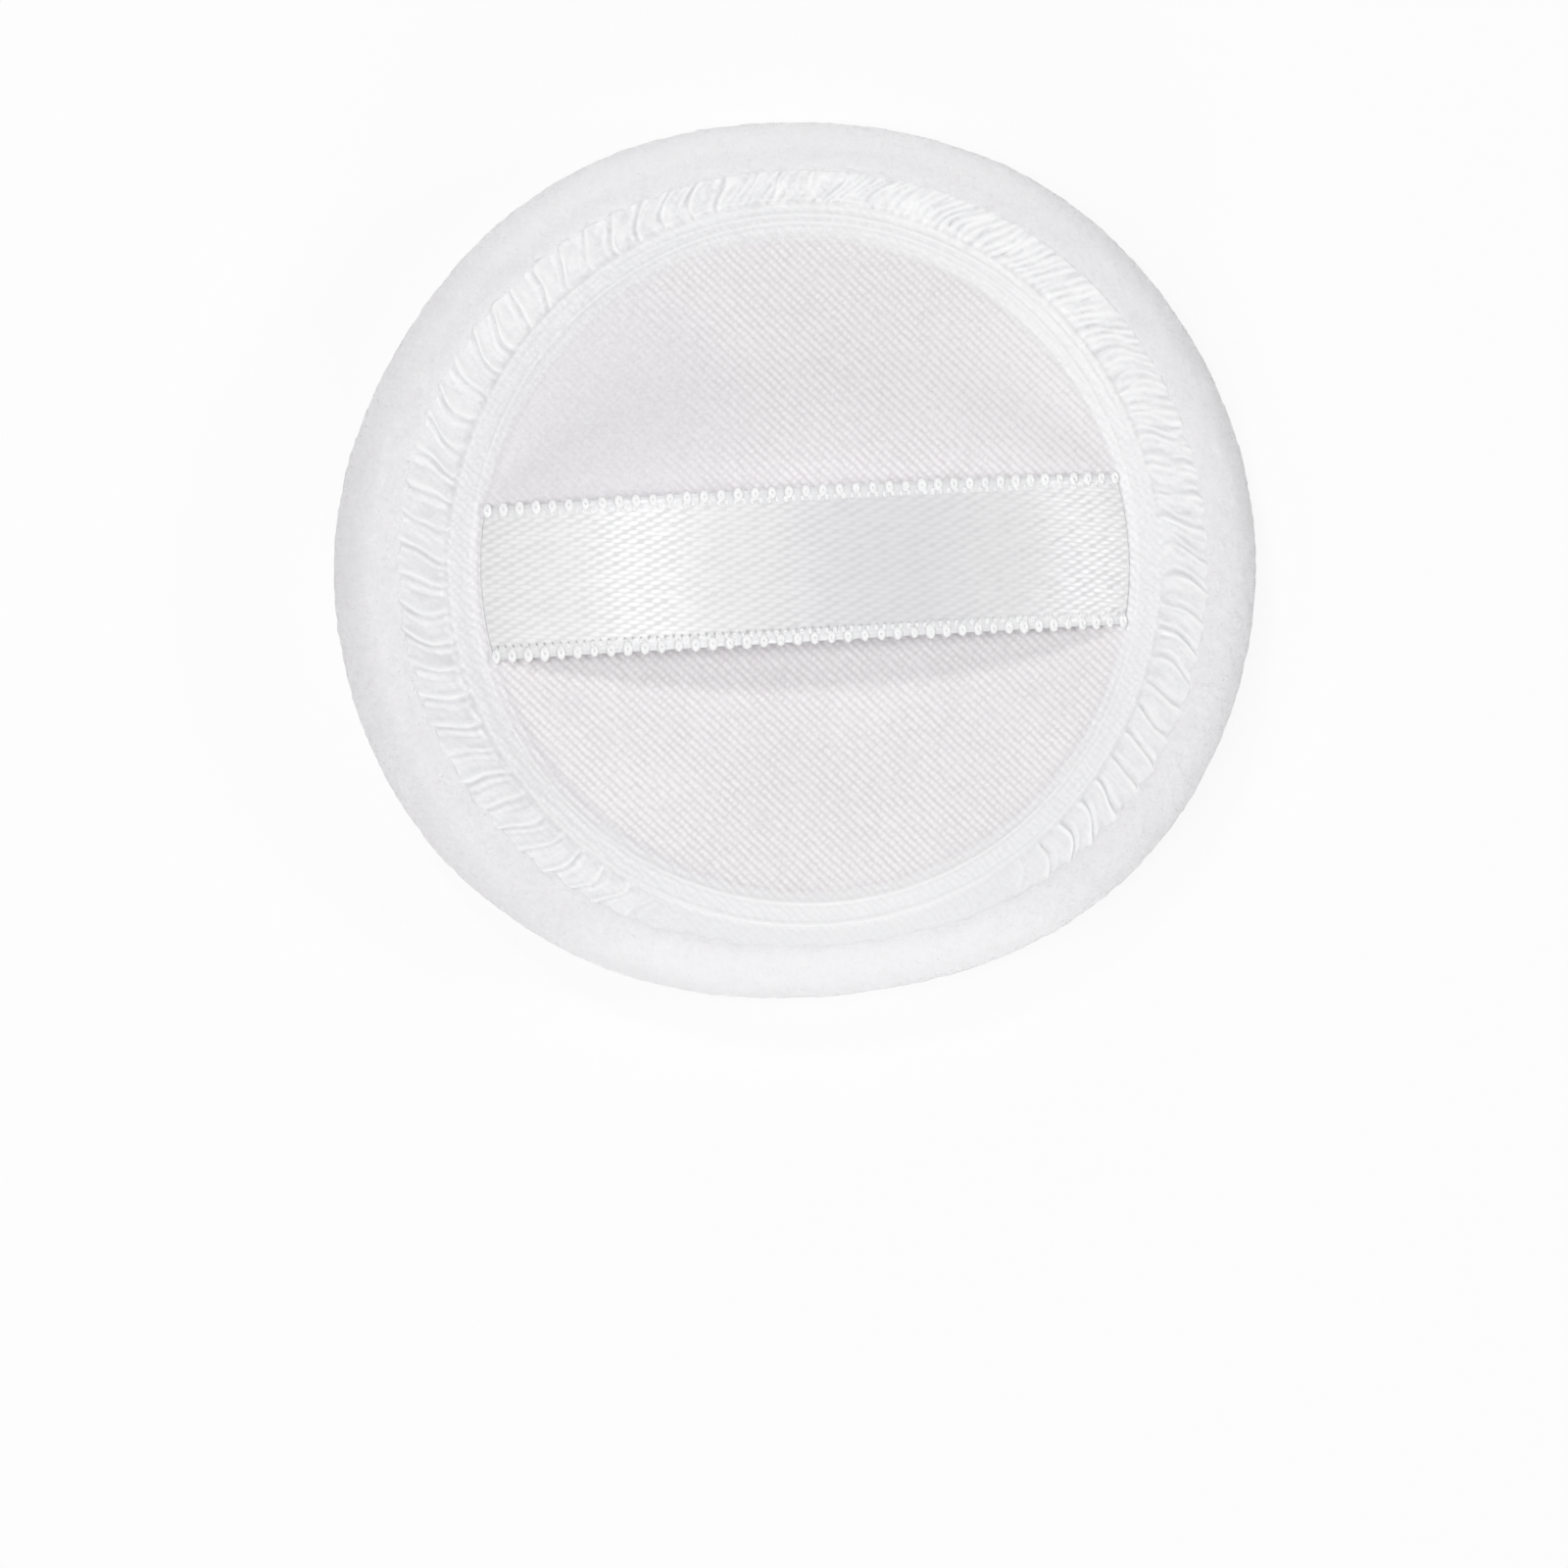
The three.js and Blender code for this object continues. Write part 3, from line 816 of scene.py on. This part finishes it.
loose = put_node(weave_group, "ShaderNodeTexNoise", Vector=taken["Place"], Scale=800, Detail=1)["Color"]
strayed = vector_maths("SCALE", vector_maths("SUBTRACT", loose, (0.5, 0.5, 0.5)), taken["Wander"])
along, across, _ = apart(vector_maths("ADD", taken["Place"], strayed))
across = across / taken["Row"]
row = maths("FLOOR", across)
slanted = row + maths("FRACT", across) * taken["Slant"]
along = along / taken["Float"] + slanted * taken["Step"]
cell = put_node(weave_group, "ShaderNodeCombineXYZ", X=row, Y=maths("FLOOR", along + 0.5))[0]
spot = put_node(weave_group, "ShaderNodeTexWhiteNoise", {"noise_dimensions": "2D"}, Vector=cell)["Value"]
bound = taken["Bind Depth"] * (0.6 + spot * 0.8)
feed(hollow_at_whole(across, taken["Row Depth"]) * hollow_at_whole(along, bound), given)


def lay_weave(place, angle, **sizes):
    """The weave's height with its rows at an angle from X; the sizes are in metres."""
    turned = put_node(place.tree, "ShaderNodeMapping", {"vector_type": "TEXTURE"}, Vector=place,
                      Rotation=(0, 0, math.radians(angle)))[0]
    return put_group(weave_group, turned, **sizes)


def follow_weave(shader):
    """Turns a material's shine to the threads of its weave map."""
    run = put_node(shader.id_data, "ShaderNodeTangent", {"direction_type": "UV_MAP", "uv_map": "weave"})
    feed(run[0], shader.inputs["Tangent"])


def rise_between(value, start, end):
    """A smooth mask that rises from 0 to 1 between two lengths in millimetres."""
    return put_node(value.tree, "ShaderNodeMapRange", {"interpolation_type": "SMOOTHSTEP"}, Value=value,
                    From_Min=start * millimetre, From_Max=end * millimetre)[0]


def round_spot(place, x, y, inner, outer):
    """A soft round mask about a spot on the back, in millimetres."""
    spot = (x * millimetre, y * millimetre, face_height * millimetre)
    return 1 - rise_between(vector_maths("DISTANCE", place, spot), inner, outer)


def read_mark(tree, name):
    return put_node(tree, "ShaderNodeAttribute", {"attribute_name": name})["Fac"]


satin_material, shader, place = new_material("twill satin", (0.8, 0.78, 0.79), 0.42, Anisotropic=0.85,
                                             IOR=1.65)
follow_weave(shader)
away = from_rings(place)
border = rise_between(away, 27.5, 29.2)
gathered = rise_between(away, 30.8, 31.8)
weave = lay_weave(place, 133.2, Row=0.00062, Float=0.000493, Step=-0.081, Slant=0.0, Row_Depth=0.85,
                  Bind_Depth=0.38, Wander=border * 0.0006 + 0.00022)
# Painted shade: a darker, bluish and duller patch at the disc's upper left. Painted light: a lighter spot
# at its upper right.
shaded_patch = round_spot(place, -18.5, 12.5, 6, 16.5)
painted_light_spot = round_spot(place, 19.5, 13, 3, 14) * 0.3
contrast = 1 - maths("MAXIMUM", border * 0.4 + gathered * 0.3, shaded_patch * 0.65)
slack = grain(place, 0.5, 0.6) * 1.5 + 0.05
speck = (grain(place, 3.4, 0.7) - 0.5) * (shaded_patch * 0.8 + 1.1)
rumple = (grain(place, 1.7, 0.6) - 0.5) * read_mark(place.tree, "rumple")
drift = (grain(place, 0.09, 0.4) - 0.5) * 0.5
tone = (weave - 0.56) * slack * contrast + speck + (rumple + 0.5) + drift + painted_light_spot
leftward = rise_between(apart(place)[0] * -1, 14, 27) * (1 - gathered)
crest = read_mark(place.tree, "crest")
woven = blend(shaded_patch * 0.45, blend(tone, (0.715, 0.688, 0.705), (0.91, 0.893, 0.905)), (0.765, 0.757, 0.79))
paler = blend(tone, (0.76, 0.76, 0.774), (0.89, 0.89, 0.904))
colour = blend(border * (1 - leftward * 0.5), woven, paler)
# Painted highlight: the ridges are lightened towards white. Painted shade: the creases and valleys are
# darkened.
colour = blend(maths("MAXIMUM", crest, 0), colour, (0.985, 0.985, 0.99))
colour = blend(maths("MAXIMUM", crest * -1, 0), colour, (0.56, 0.55, 0.565))
paint(shader, colour)
feed(0.56 - weave * 0.2, shader.inputs["Roughness"])
raise_bump(shader, weave * contrast, 0.02)


def soft_step(value, start, end):
    t = np.clip((value - start) / (end - start), 0, 1)
    return t * t * (3 - 2 * t)


def satin_rings(radius, angle):
    """The face's height over the disc, the groove and the pressed ribs, with its painted shading:
    a painted highlight above 0 on a ridge, painted shade below 0 in a crease."""
    z = face_height - groove_depth * (soft_step(radius, disc_radius - 0.1, disc_radius + 0.45)
                                      - 0.6 * soft_step(radius, first_rib - 0.7, first_rib))
    crest = soft_step(radius, disc_radius, disc_radius + 0.3) * lobes(angle, ring_shine)
    crest += soft_step(radius, pleat_inner, pleat_inner + 1) * lobes(angle, pleat_shine)
    pressed = 0.3 + 0.7 * np.abs(np.sin(angle)) ** 1.5
    upper = near_turn(angle, 80, 50)
    for rib, strength in ((first_rib + 0.55 * upper, pressed), (second_rib + 0.2 * upper, pressed),
                          *((rib, share * upper) for rib, share in upper_ribs)):
        z += rib_rise * strength * hump(radius - rib, rib_width)
        crest += 0.6 * strength * hump(radius - rib, rib_shine_width)
    for valley in valleys:
        crest -= hump(radius - valley, valley_width) * lobes(angle, valley_shade)
    share = np.clip((radius - pleat_inner) / pleat_width, 0, 1)
    level = pleat_drop + (pleat_edge_drop - pleat_drop - 0.2 * near_turn(angle, 80, 60)) * share
    z -= (level - groove_depth * 0.4) * soft_step(radius, second_rib - 0.2, pleat_inner + 0.5)
    return z, crest


def satin_face(radius, angle, straight):
    """The face's height and painted highlight and shade with the folds: thin and leaning on the left,
    broad and rippled at the upper right. The straight angle is the one before they lean and sway."""
    z, crest = satin_rings(radius, angle)
    turn = straight / (2 * np.pi) * pleat_count + 0.5
    phase = turn % 1 - 0.5
    number = np.floor(turn).astype(int) % pleat_count
    side = near_turn(angle, *broad_side)
    climb = (phase - fold_lip) % 1 / (1 - fold_lip)
    thin = np.where((phase > 0) & (phase < fold_lip), soft_step(fold_lip - phase, 0, fold_lip),
                    0.4 * climb + 0.6 * soft_step(climb, 0.76, 0.97))
    broad = 1 - 0.6 * hump(np.abs(phase) - 0.5, 0.13)
    ripple = np.cos(2 * np.pi * (3 * phase + 0.25 * radius + fold_shift[number]))
    fold = (thin - 0.35) * (1 - side) + (broad + 0.18 * ripple - 0.75) * side
    # Painted highlight on each fold's ridge, painted shade in its cut and in the gaps between broad folds.
    ridge = hump(phase + 0.06, 0.09) + 0.35 * hump(phase - 0.28, 0.08)
    cut = hump(phase - fold_lip, 0.09) + 0.5 * hump(phase - 0.42, 0.08)
    gap = hump(np.abs(phase) - 0.5, 0.06)
    fold_painted_shading = (0.95 * ridge - 0.35 * cut) * (1 - side) + (0.15 + 0.5 * ripple - 0.4 * gap) * side
    size = fold_size[number] * (1 - 0.97 * soft_step(near_turn(angle, *calm_side), 0.2, 0.6))
    size *= soft_step(radius, pleat_inner - 0.1, pleat_inner + 0.8)
    size *= 1 - 0.5 * soft_step(radius, satin_edge - 0.5, satin_edge)
    return z + fold * pleat_height * size, crest + fold_painted_shading * size


def smooth_along(field, steps, axis):
    """Averages a field over neighbouring rows or columns, round the ring for columns."""
    for k in range(steps):
        field = (np.roll(field, 1, axis) + 2 * field + np.roll(field, -1, axis)) / 4
    return field


def pleat_row(radius, crinkle):
    """One row of the folds: its columns follow the lean and crowd where the folds turn."""
    middle = 2 * np.pi * np.arange(pleat_count)[:, None] / pleat_count
    side = near_turn(middle, *broad_side)
    set_in = soft_step(radius, outer_groove_radius, pleat_inner + 0.4)
    phase = (np.array(thin_fold) * (1 - side) + even_fold * side) * set_in + even_fold * (1 - set_in)
    straight = (middle + phase * 2 * np.pi / pleat_count).ravel()
    share = (radius - pleat_inner) / pleat_width
    sway = (0.005 * np.sin(2 * np.pi * share + 2 * np.sin(9 * straight))
            + 0.005 * np.sin(23 * straight + 4 * share)) * set_in
    angle = straight + lean_at(radius) + sway
    z, crest = satin_face(np.full(len(angle), radius), angle, straight)
    amount = crinkle * (0.3 + 0.7 * near_turn(angle, 60, 55)) * set_in
    amount *= 1 - 0.9 * near_turn(angle, 270, 34)
    row = np.stack([radius * np.cos(angle), radius * np.sin(angle), z + crinkle_depth * amount], 1)
    # The crinkles add painted highlight and shade as well as height.
    return row, crest + 0.25 * np.maximum(amount, -0.8)


satin_lines = [(r, disc_columns) for r in np.arange(0, disc_radius - 3.5, disc_step)]
satin_lines += [(disc_radius - inwards, ring_columns) for inwards in (*disc_lines, slit_slack)]
satin_lines += [(r, ring_columns) for r in np.linspace(slit_outer, outer_groove_radius, groove_lines)]
satin_rows, satin_painted_shading = [], []
for radius, count in satin_lines:
    row = round_row(radius, 0, count)
    angle = np.arctan2(row[:, 1], row[:, 0])
    radii = np.full(len(row), radius)
    row[:, 2], crest = satin_face(radii, angle, angle - lean_at(radii))
    shift = len(row) // pleat_count // 2 if count == ring_columns else 0
    satin_rows.append(np.roll(row, shift, 0))
    satin_painted_shading.append(np.roll(crest, shift))
pleat_lines = np.linspace(outer_groove_radius, satin_edge, fold_lines)[1:]
crinkles = np.random.default_rng(crinkle_seed).normal(size=(len(pleat_lines), pleat_count * len(thin_fold)))
crinkles = smooth_along(smooth_along(crinkles, 12, 0), 1, 1)
crinkles /= crinkles.std()
for radius, crinkle in zip(pleat_lines, crinkles):
    row, crest = pleat_row(radius, crinkle)
    satin_rows.append(row)
    satin_painted_shading.append(crest)
for out, down in edge_turns:
    edge_row = satin_rows[-1].copy()
    edge_row[:, :2] *= (satin_edge + out) / np.hypot(edge_row[0, 0], edge_row[0, 1])
    edge_row[:, 2] -= down
    satin_rows.append(edge_row)
    satin_painted_shading.append(satin_painted_shading[-1])
satin_points = draw_in(np.concatenate(satin_rows))


def in_slit(face):
    x, y, z = satin_points[face].mean(0)
    turn = math.degrees(math.atan2(y, abs(x)))
    return slit_inner < math.hypot(x, y) < slit_outer and abs(turn) < slit_angle


def lay_uv(piece, uvs):
    """Gives a piece its weave map, in metres along and across the threads."""
    layer = piece.data.uv_layers.new(name="weave")
    corners = np.zeros(len(piece.data.loops), int)
    piece.data.loops.foreach_get("vertex_index", corners)
    layer.data.foreach_set("uv", (uvs[corners] * millimetre).ravel())


def thicken(piece, thickness, offset):
    """Gives a sheet its thickness in millimetres, as a plain mesh."""
    solid = piece.modifiers.new("cloth", "SOLIDIFY")
    solid.thickness = thickness * millimetre
    solid.offset = offset
    mesh = plain_mesh(piece)
    piece.modifiers.clear()
    piece.data = mesh
    mesh.name = piece.name


satin_faces = [face for face in skin_through(satin_rows) if not in_slit(face)]
satin = make_piece("satin_round", satin_points, satin_faces, satin_material)
turned = np.arctan2(satin_points[:, 1], satin_points[:, 0])
beyond = np.hypot(*satin_points[:, :2].T) > disc_radius
mark_points(satin, "crest", np.concatenate(satin_painted_shading))
mark_points(satin, "rumple", (0.6 + 1.5 * near_turn(turned, 75, 55) * beyond)
            * (1 - 0.8 * near_turn(turned, 270, 38) * beyond))
lay_uv(satin, satin_points[:, :2])
thicken(satin, cloth_thickness, -1)
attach(satin, "root")
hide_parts("satin_backing")


# Ribbon. A 13 mm double-faced satin ribbon with woven picot edges, arched over the back as a
# finger loop. Each end goes down through a slit at the disc's edge and is tucked in under the
# stiffener, so its leg follows the disc's curve.
ribbon_width = 13.0
arch_rise = 6.0
arch_spread = 2.15
tuck_length = 6.0
tuck_bend = 0.5
bend_steps = 5
slit_depth = 0.45
arch_steps = 120
ribbon_strips = 26
leg_radius = disc_radius + ribbon_thickness / 2
weave_thickness = 0.22
prick_spacing = 0.0007075

ribbon_material, shader, place = new_material(
    "ribbon satin", (0.8, 0.8, 0.81), 0.4, Anisotropic=0.8, Anisotropic_Rotation=0.25, IOR=1.85,
    Subsurface_Weight=0.7, Subsurface_Radius=(1, 1, 1), Subsurface_Scale=0.0005)
follow_weave(shader)
uv = put_node(place.tree, "ShaderNodeUVMap", {"uv_map": "weave"})[0]
weave = lay_weave(uv, -5.5, Row=0.00038, Float=0.00139, Step=-0.49, Slant=0.4, Row_Depth=0.4,
                  Bind_Depth=0.8, Wander=0.00014)
lengthwise = apart(place)[0]
leftwise = lengthwise * -1
# The weave's contrast is painted strong on the left, where the highlight falls, and weak towards the right.
highlight_contrast = 1.9 - rise_between(lengthwise, -18, 22) * 1.35
dashes = grain(vector_maths("MULTIPLY", uv, (0.3, 1.0, 1.0)), 2.6, 0.5)
tone = (weave - 0.55) * highlight_contrast + (dashes - 0.5) * 0.9
woven = blend(tone + 0.5, (0.705, 0.705, 0.717), (0.87, 0.87, 0.88))
# Painted light towards the right end, over the left half and at the left end; painted shade in a darker
# bluish zone just right of the middle.
woven = blend(rise_between(lengthwise, 19.5, 27) * 0.16, woven, (0.96, 0.955, 0.965))
woven = blend(rise_between(leftwise, -1, 7) * 0.17, woven, (0.96, 0.96, 0.955))
woven = blend(rise_between(leftwise, 17.5, 22.5) * 0.2, woven, (0.96, 0.96, 0.965))
middle = 1 - rise_between(abs(lengthwise - 0.0055), 2, 10)
woven = blend(middle * 0.4, woven, (0.68, 0.68, 0.72))
along, across, _ = apart(uv)
woven = blend(rise_between(abs(across), 5.3, 5.6), woven, (0.84, 0.845, 0.86))
# Dark dots in the row inside each edge: the gaps between the threads, with painted shade in them mainly on
# the lower edge, the shadow side, deepest on the left.
near_row = maths("MAXIMUM", 1 - abs(abs(across) - 0.0054) / 0.00025, 0)
shaded_gaps = near_row * (1 - hollow_at_whole(along / prick_spacing, 1)) ** 2
shaded_gaps = shaded_gaps * ((0.2 - across * 110) + grain(place, 0.5, 0.6) * 0.6) * (highlight_contrast * 0.65)
paint(shader, blend(shaded_gaps * 0.6, woven, (0.25, 0.25, 0.26)))
feed(0.6 - weave * 0.25, shader.inputs["Roughness"])
raise_bump(shader, weave - shaded_gaps, 0.02)

stations = [(-1, inwards, tuck_height) for inwards in (tuck_length, tuck_length / 2, tuck_bend)]
for k in range(1, bend_steps):
    a = math.pi / 2 * k / bend_steps
    stations.append((-1, tuck_bend * (1 - math.sin(a)), tuck_height + tuck_bend * (1 - math.cos(a))))
stations += [(-1, 0, tuck_height + tuck_bend), (-1, 0, face_height - slit_depth)]
half = len(stations)
for k in range(arch_steps + 1):
    share = -math.cos(math.pi * k / arch_steps)
    stations.append((share, 0, face_height + arch_rise * (1 - abs(share) ** arch_spread)))
stations += [(1, inwards, height) for _, inwards, height in reversed(stations[:half])]
columns = ribbon_strips + 1
across = np.linspace(-ribbon_width / 2, ribbon_width / 2, columns)
reach = np.sqrt(leg_radius ** 2 - across ** 2)
ribbon_rows = [np.stack([share * reach - np.sign(share) * inwards, across, np.full(columns, height)], 1)
               for share, inwards, height in stations]
runs = run_along([row[ribbon_strips // 2] for row in ribbon_rows])
uvs = np.concatenate([np.stack([np.full(columns, far), across], 1) for far in runs])
ribbon_faces = [[i * columns + j, (i + 1) * columns + j, (i + 1) * columns + j + 1, i * columns + j + 1]
                for i in range(len(stations) - 1) for j in range(ribbon_strips)]
ribbon = make_piece("ribbon_loop", np.concatenate(ribbon_rows), ribbon_faces, ribbon_material)
lay_uv(ribbon, uvs)
thicken(ribbon, weave_thickness, 0)
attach(ribbon, "root")
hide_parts("ribbon_band")


# Picot edges of the ribbon. Two fine threads cross each other along each side in the loom and
# make a row of tiny loops with a finer row inside it, along the open part of the finger loop.
picot_rows = ((-0.26, 1.415, 0.1, 1.12), (-0.86, 0.7075, 0.1, 0.55))
picot_sizes = {"Loop Radius": 0.0002, "Thread Radius": 0.00019, "Spacing": 0.001415, "Scale": 1.0,
               "Drawn Out": 1.42}

picot_material, shader, place = new_material("picot thread", (0.93, 0.935, 0.95), 0.4, IOR=1.6)
paint(shader, blend(grain(place, 7, 0.6), (0.93, 0.93, 0.935), (0.995, 0.995, 1.0)))

picot_tree, taken, given = open_tree("picot loops", picot_sizes)
tangent = put_node(picot_tree, "GeometryNodeInputTangent")[0]
along_edge = put_node(picot_tree, "FunctionNodeAlignRotationToVector", {"axis": "X", "pivot_axis": "Y"},
                      Vector=tangent)[0]
size = put_node(picot_tree, "FunctionNodeRandomValue", (), 0.85, 1.15)[0] * taken["Scale"]
oval = put_node(picot_tree, "ShaderNodeCombineXYZ", (), size, size * taken["Drawn Out"], size)[0]
placed = put_node(picot_tree, "GeometryNodeInstanceOnPoints", Rotation=along_edge, Scale=oval,
                  Points=space_evenly(taken["Geometry"], taken["Spacing"]),
                  Instance=sweep(circle(taken["Loop Radius"], 8), taken["Thread Radius"], 5, False))[0]
close_tree(placed, picot_material, given)

picots = []
for edge, direction in ((0, -1), (-1, 1)):
    side = np.array([row[edge] for row in ribbon_rows[half + 2:-half - 2]])
    outward = np.cross(np.gradient(side, axis=0), [0, 1, 0])
    outward /= np.linalg.norm(outward, axis=1)[:, None]
    for outwards, spacing, lift, scale in picot_rows:
        path = thread_path("picot_path", side + np.array([0, direction * outwards, 0]) + outward * lift)
        sizes = dict(picot_sizes, Spacing=spacing * millimetre, Scale=scale)
        picots.append(apply_tree(picot_tree, path, sizes, "picot", picot_material))
        bpy.data.objects.remove(path)
picot_edges = merge_pieces("ribbon_picots", picots)
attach(picot_edges, "root")


# Ribbon tacks. Each ribbon end is held by one row of machine zigzag in polyester thread, under
# the stiffener, across the tucked end.
thread_width = 0.4
tack_length = ribbon_width - 3
tack_width = 1.6
tack_stitches = 12
tack_lift = 0.04
tack_height = tack_top - thread_thickness / 2
for side, name in ((-1, "left"), (1, "right")):
    middle = side * (leg_radius - tuck_length / 2)
    zigzag = []
    for k in range(tack_stitches + 1):
        y = tack_length * (k / tack_stitches - 0.5)
        swing = (tack_width - thread_width) * (0.5 if k % 2 else -0.5)
        zigzag.append((middle + swing, y, tack_height))
        if k < tack_stitches:
            zigzag.append((middle, y + tack_length / tack_stitches / 2, tack_height + tack_lift))
    tack = run_thread("tack_" + name, np.array(zigzag), 0.16, 0.12)
    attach(tack, "root")
    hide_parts("ribbon_tack_" + name)


# Floor, light and camera. A plain pale floor that shows white to the camera but keeps the
# puff's shadow. Soft lamps hang above, at both sides and low before and behind, with a
# harder one behind for the shadow. A long lens looks down on the back.
floor_reach = 3.0
floor_glow = 0.88
room_light = 0.15
white = (1, 1, 1, 1)
lamps = (
    ("top lamp", (-0.246, 0, 0.687), 0.2, 1.05),
    ("key lamp", (-0.22, 0.365, 0.595), 0.11, 1.1),
    ("left lamp", (-0.482, 0, 0.545), 0.2, 0.7),
    ("right lamp", (0.597, 0, 0.413), 0.2, 1.38),
    ("low back lamp", (0, 0.677, 0.256), 0.32, 0.72),
    ("low front lamp", (0, -0.677, 0.256), 0.32, 1.97),
)
lamp_aim = Vector((0, 0, 0.01))
lens = 120
sensor = 36
picture_width = 1600
camera_distance = 0.4495
tilt_across = math.radians(8.6)
tilt_up = math.radians(1.6)
ribbon_rise = math.radians(3.15)
rings_seen_at = (24.5, 222)


def show_white(tree, usual, white, share, output):
    """Shows white to the camera and in gloss; what lights the piece stays the usual shader."""
    path = put_node(tree, "ShaderNodeLightPath")
    seen = maths("MAXIMUM", path["Is Glossy Ray"], path["Is Transmission Ray"])
    seen = maths("MAXIMUM", path["Is Camera Ray"], seen) * share
    mixed = put_node(tree, "ShaderNodeMixShader", (), seen, usual.outputs[0], white)[0]
    feed(mixed, tree.nodes[output].inputs["Surface"])


floor_material, shader, place = new_material("pale floor", (0.9, 0.9, 0.9), 0.9)
glow = put_node(place.tree, "ShaderNodeEmission", Strength=1)[0]
show_white(place.tree, shader, glow, floor_glow, "Material Output")
floor_mesh = bpy.data.meshes.new("floor")
floor_corners = [(x * floor_reach, y * floor_reach, 0) for x, y in ((-1, -1), (1, -1), (1, 1), (-1, 1))]
floor_mesh.from_pydata(floor_corners, [], [[0, 1, 2, 3]])
floor_mesh.materials.append(floor_material)
floor = add_object("floor", floor_mesh)

world = bpy.context.scene.world or bpy.data.worlds.new("room")
bpy.context.scene.world = world
world.use_nodes = True
room = world.node_tree.nodes["Background"]
feed(white, room.inputs["Color"])
feed(room_light, room.inputs["Strength"])
backdrop = put_node(world.node_tree, "ShaderNodeBackground", Color=white, Strength=1)[0]
show_white(world.node_tree, room, backdrop, 1, "World Output")

for name, place, width, power in lamps:
    lamp = bpy.data.lights.new(name, "AREA")
    lamp.shape = "DISK"
    lamp.size = width
    lamp.energy = power
    holder = add_object(name, lamp)
    holder.location = place
    holder.rotation_euler = (lamp_aim - Vector(place)).to_track_quat("-Z", "Y").to_euler()

rings_middle = Vector(into_place(np.array([[0, 0, face_height]]))[0])
towards = Vector((-math.sin(tilt_across), -math.sin(tilt_up), math.cos(tilt_across))).normalized()
along = (Vector((1, 0, 0)) - towards * towards.x).normalized()
upward = towards.cross(along)
right = along * math.cos(ribbon_rise) - upward * math.sin(ribbon_rise)
up = towards.cross(right)
camera_data = bpy.data.cameras.new("camera")
camera_data.lens = lens
camera_data.sensor_width = sensor
camera_data.clip_start = 0.01
camera = add_object("camera", camera_data)
facing = Matrix((right, up, towards)).transposed()
ray = Vector((*rings_seen_at, -lens / sensor * picture_width)).normalized()
aside = Vector((0, 0, -1)).rotation_difference(ray).to_matrix().transposed()
camera_place = Matrix.Translation(rings_middle + towards * camera_distance)
camera.matrix_world = camera_place @ (facing @ aside).to_4x4()
bpy.context.scene.camera = camera
bpy.context.scene.view_settings.view_transform = "Standard"
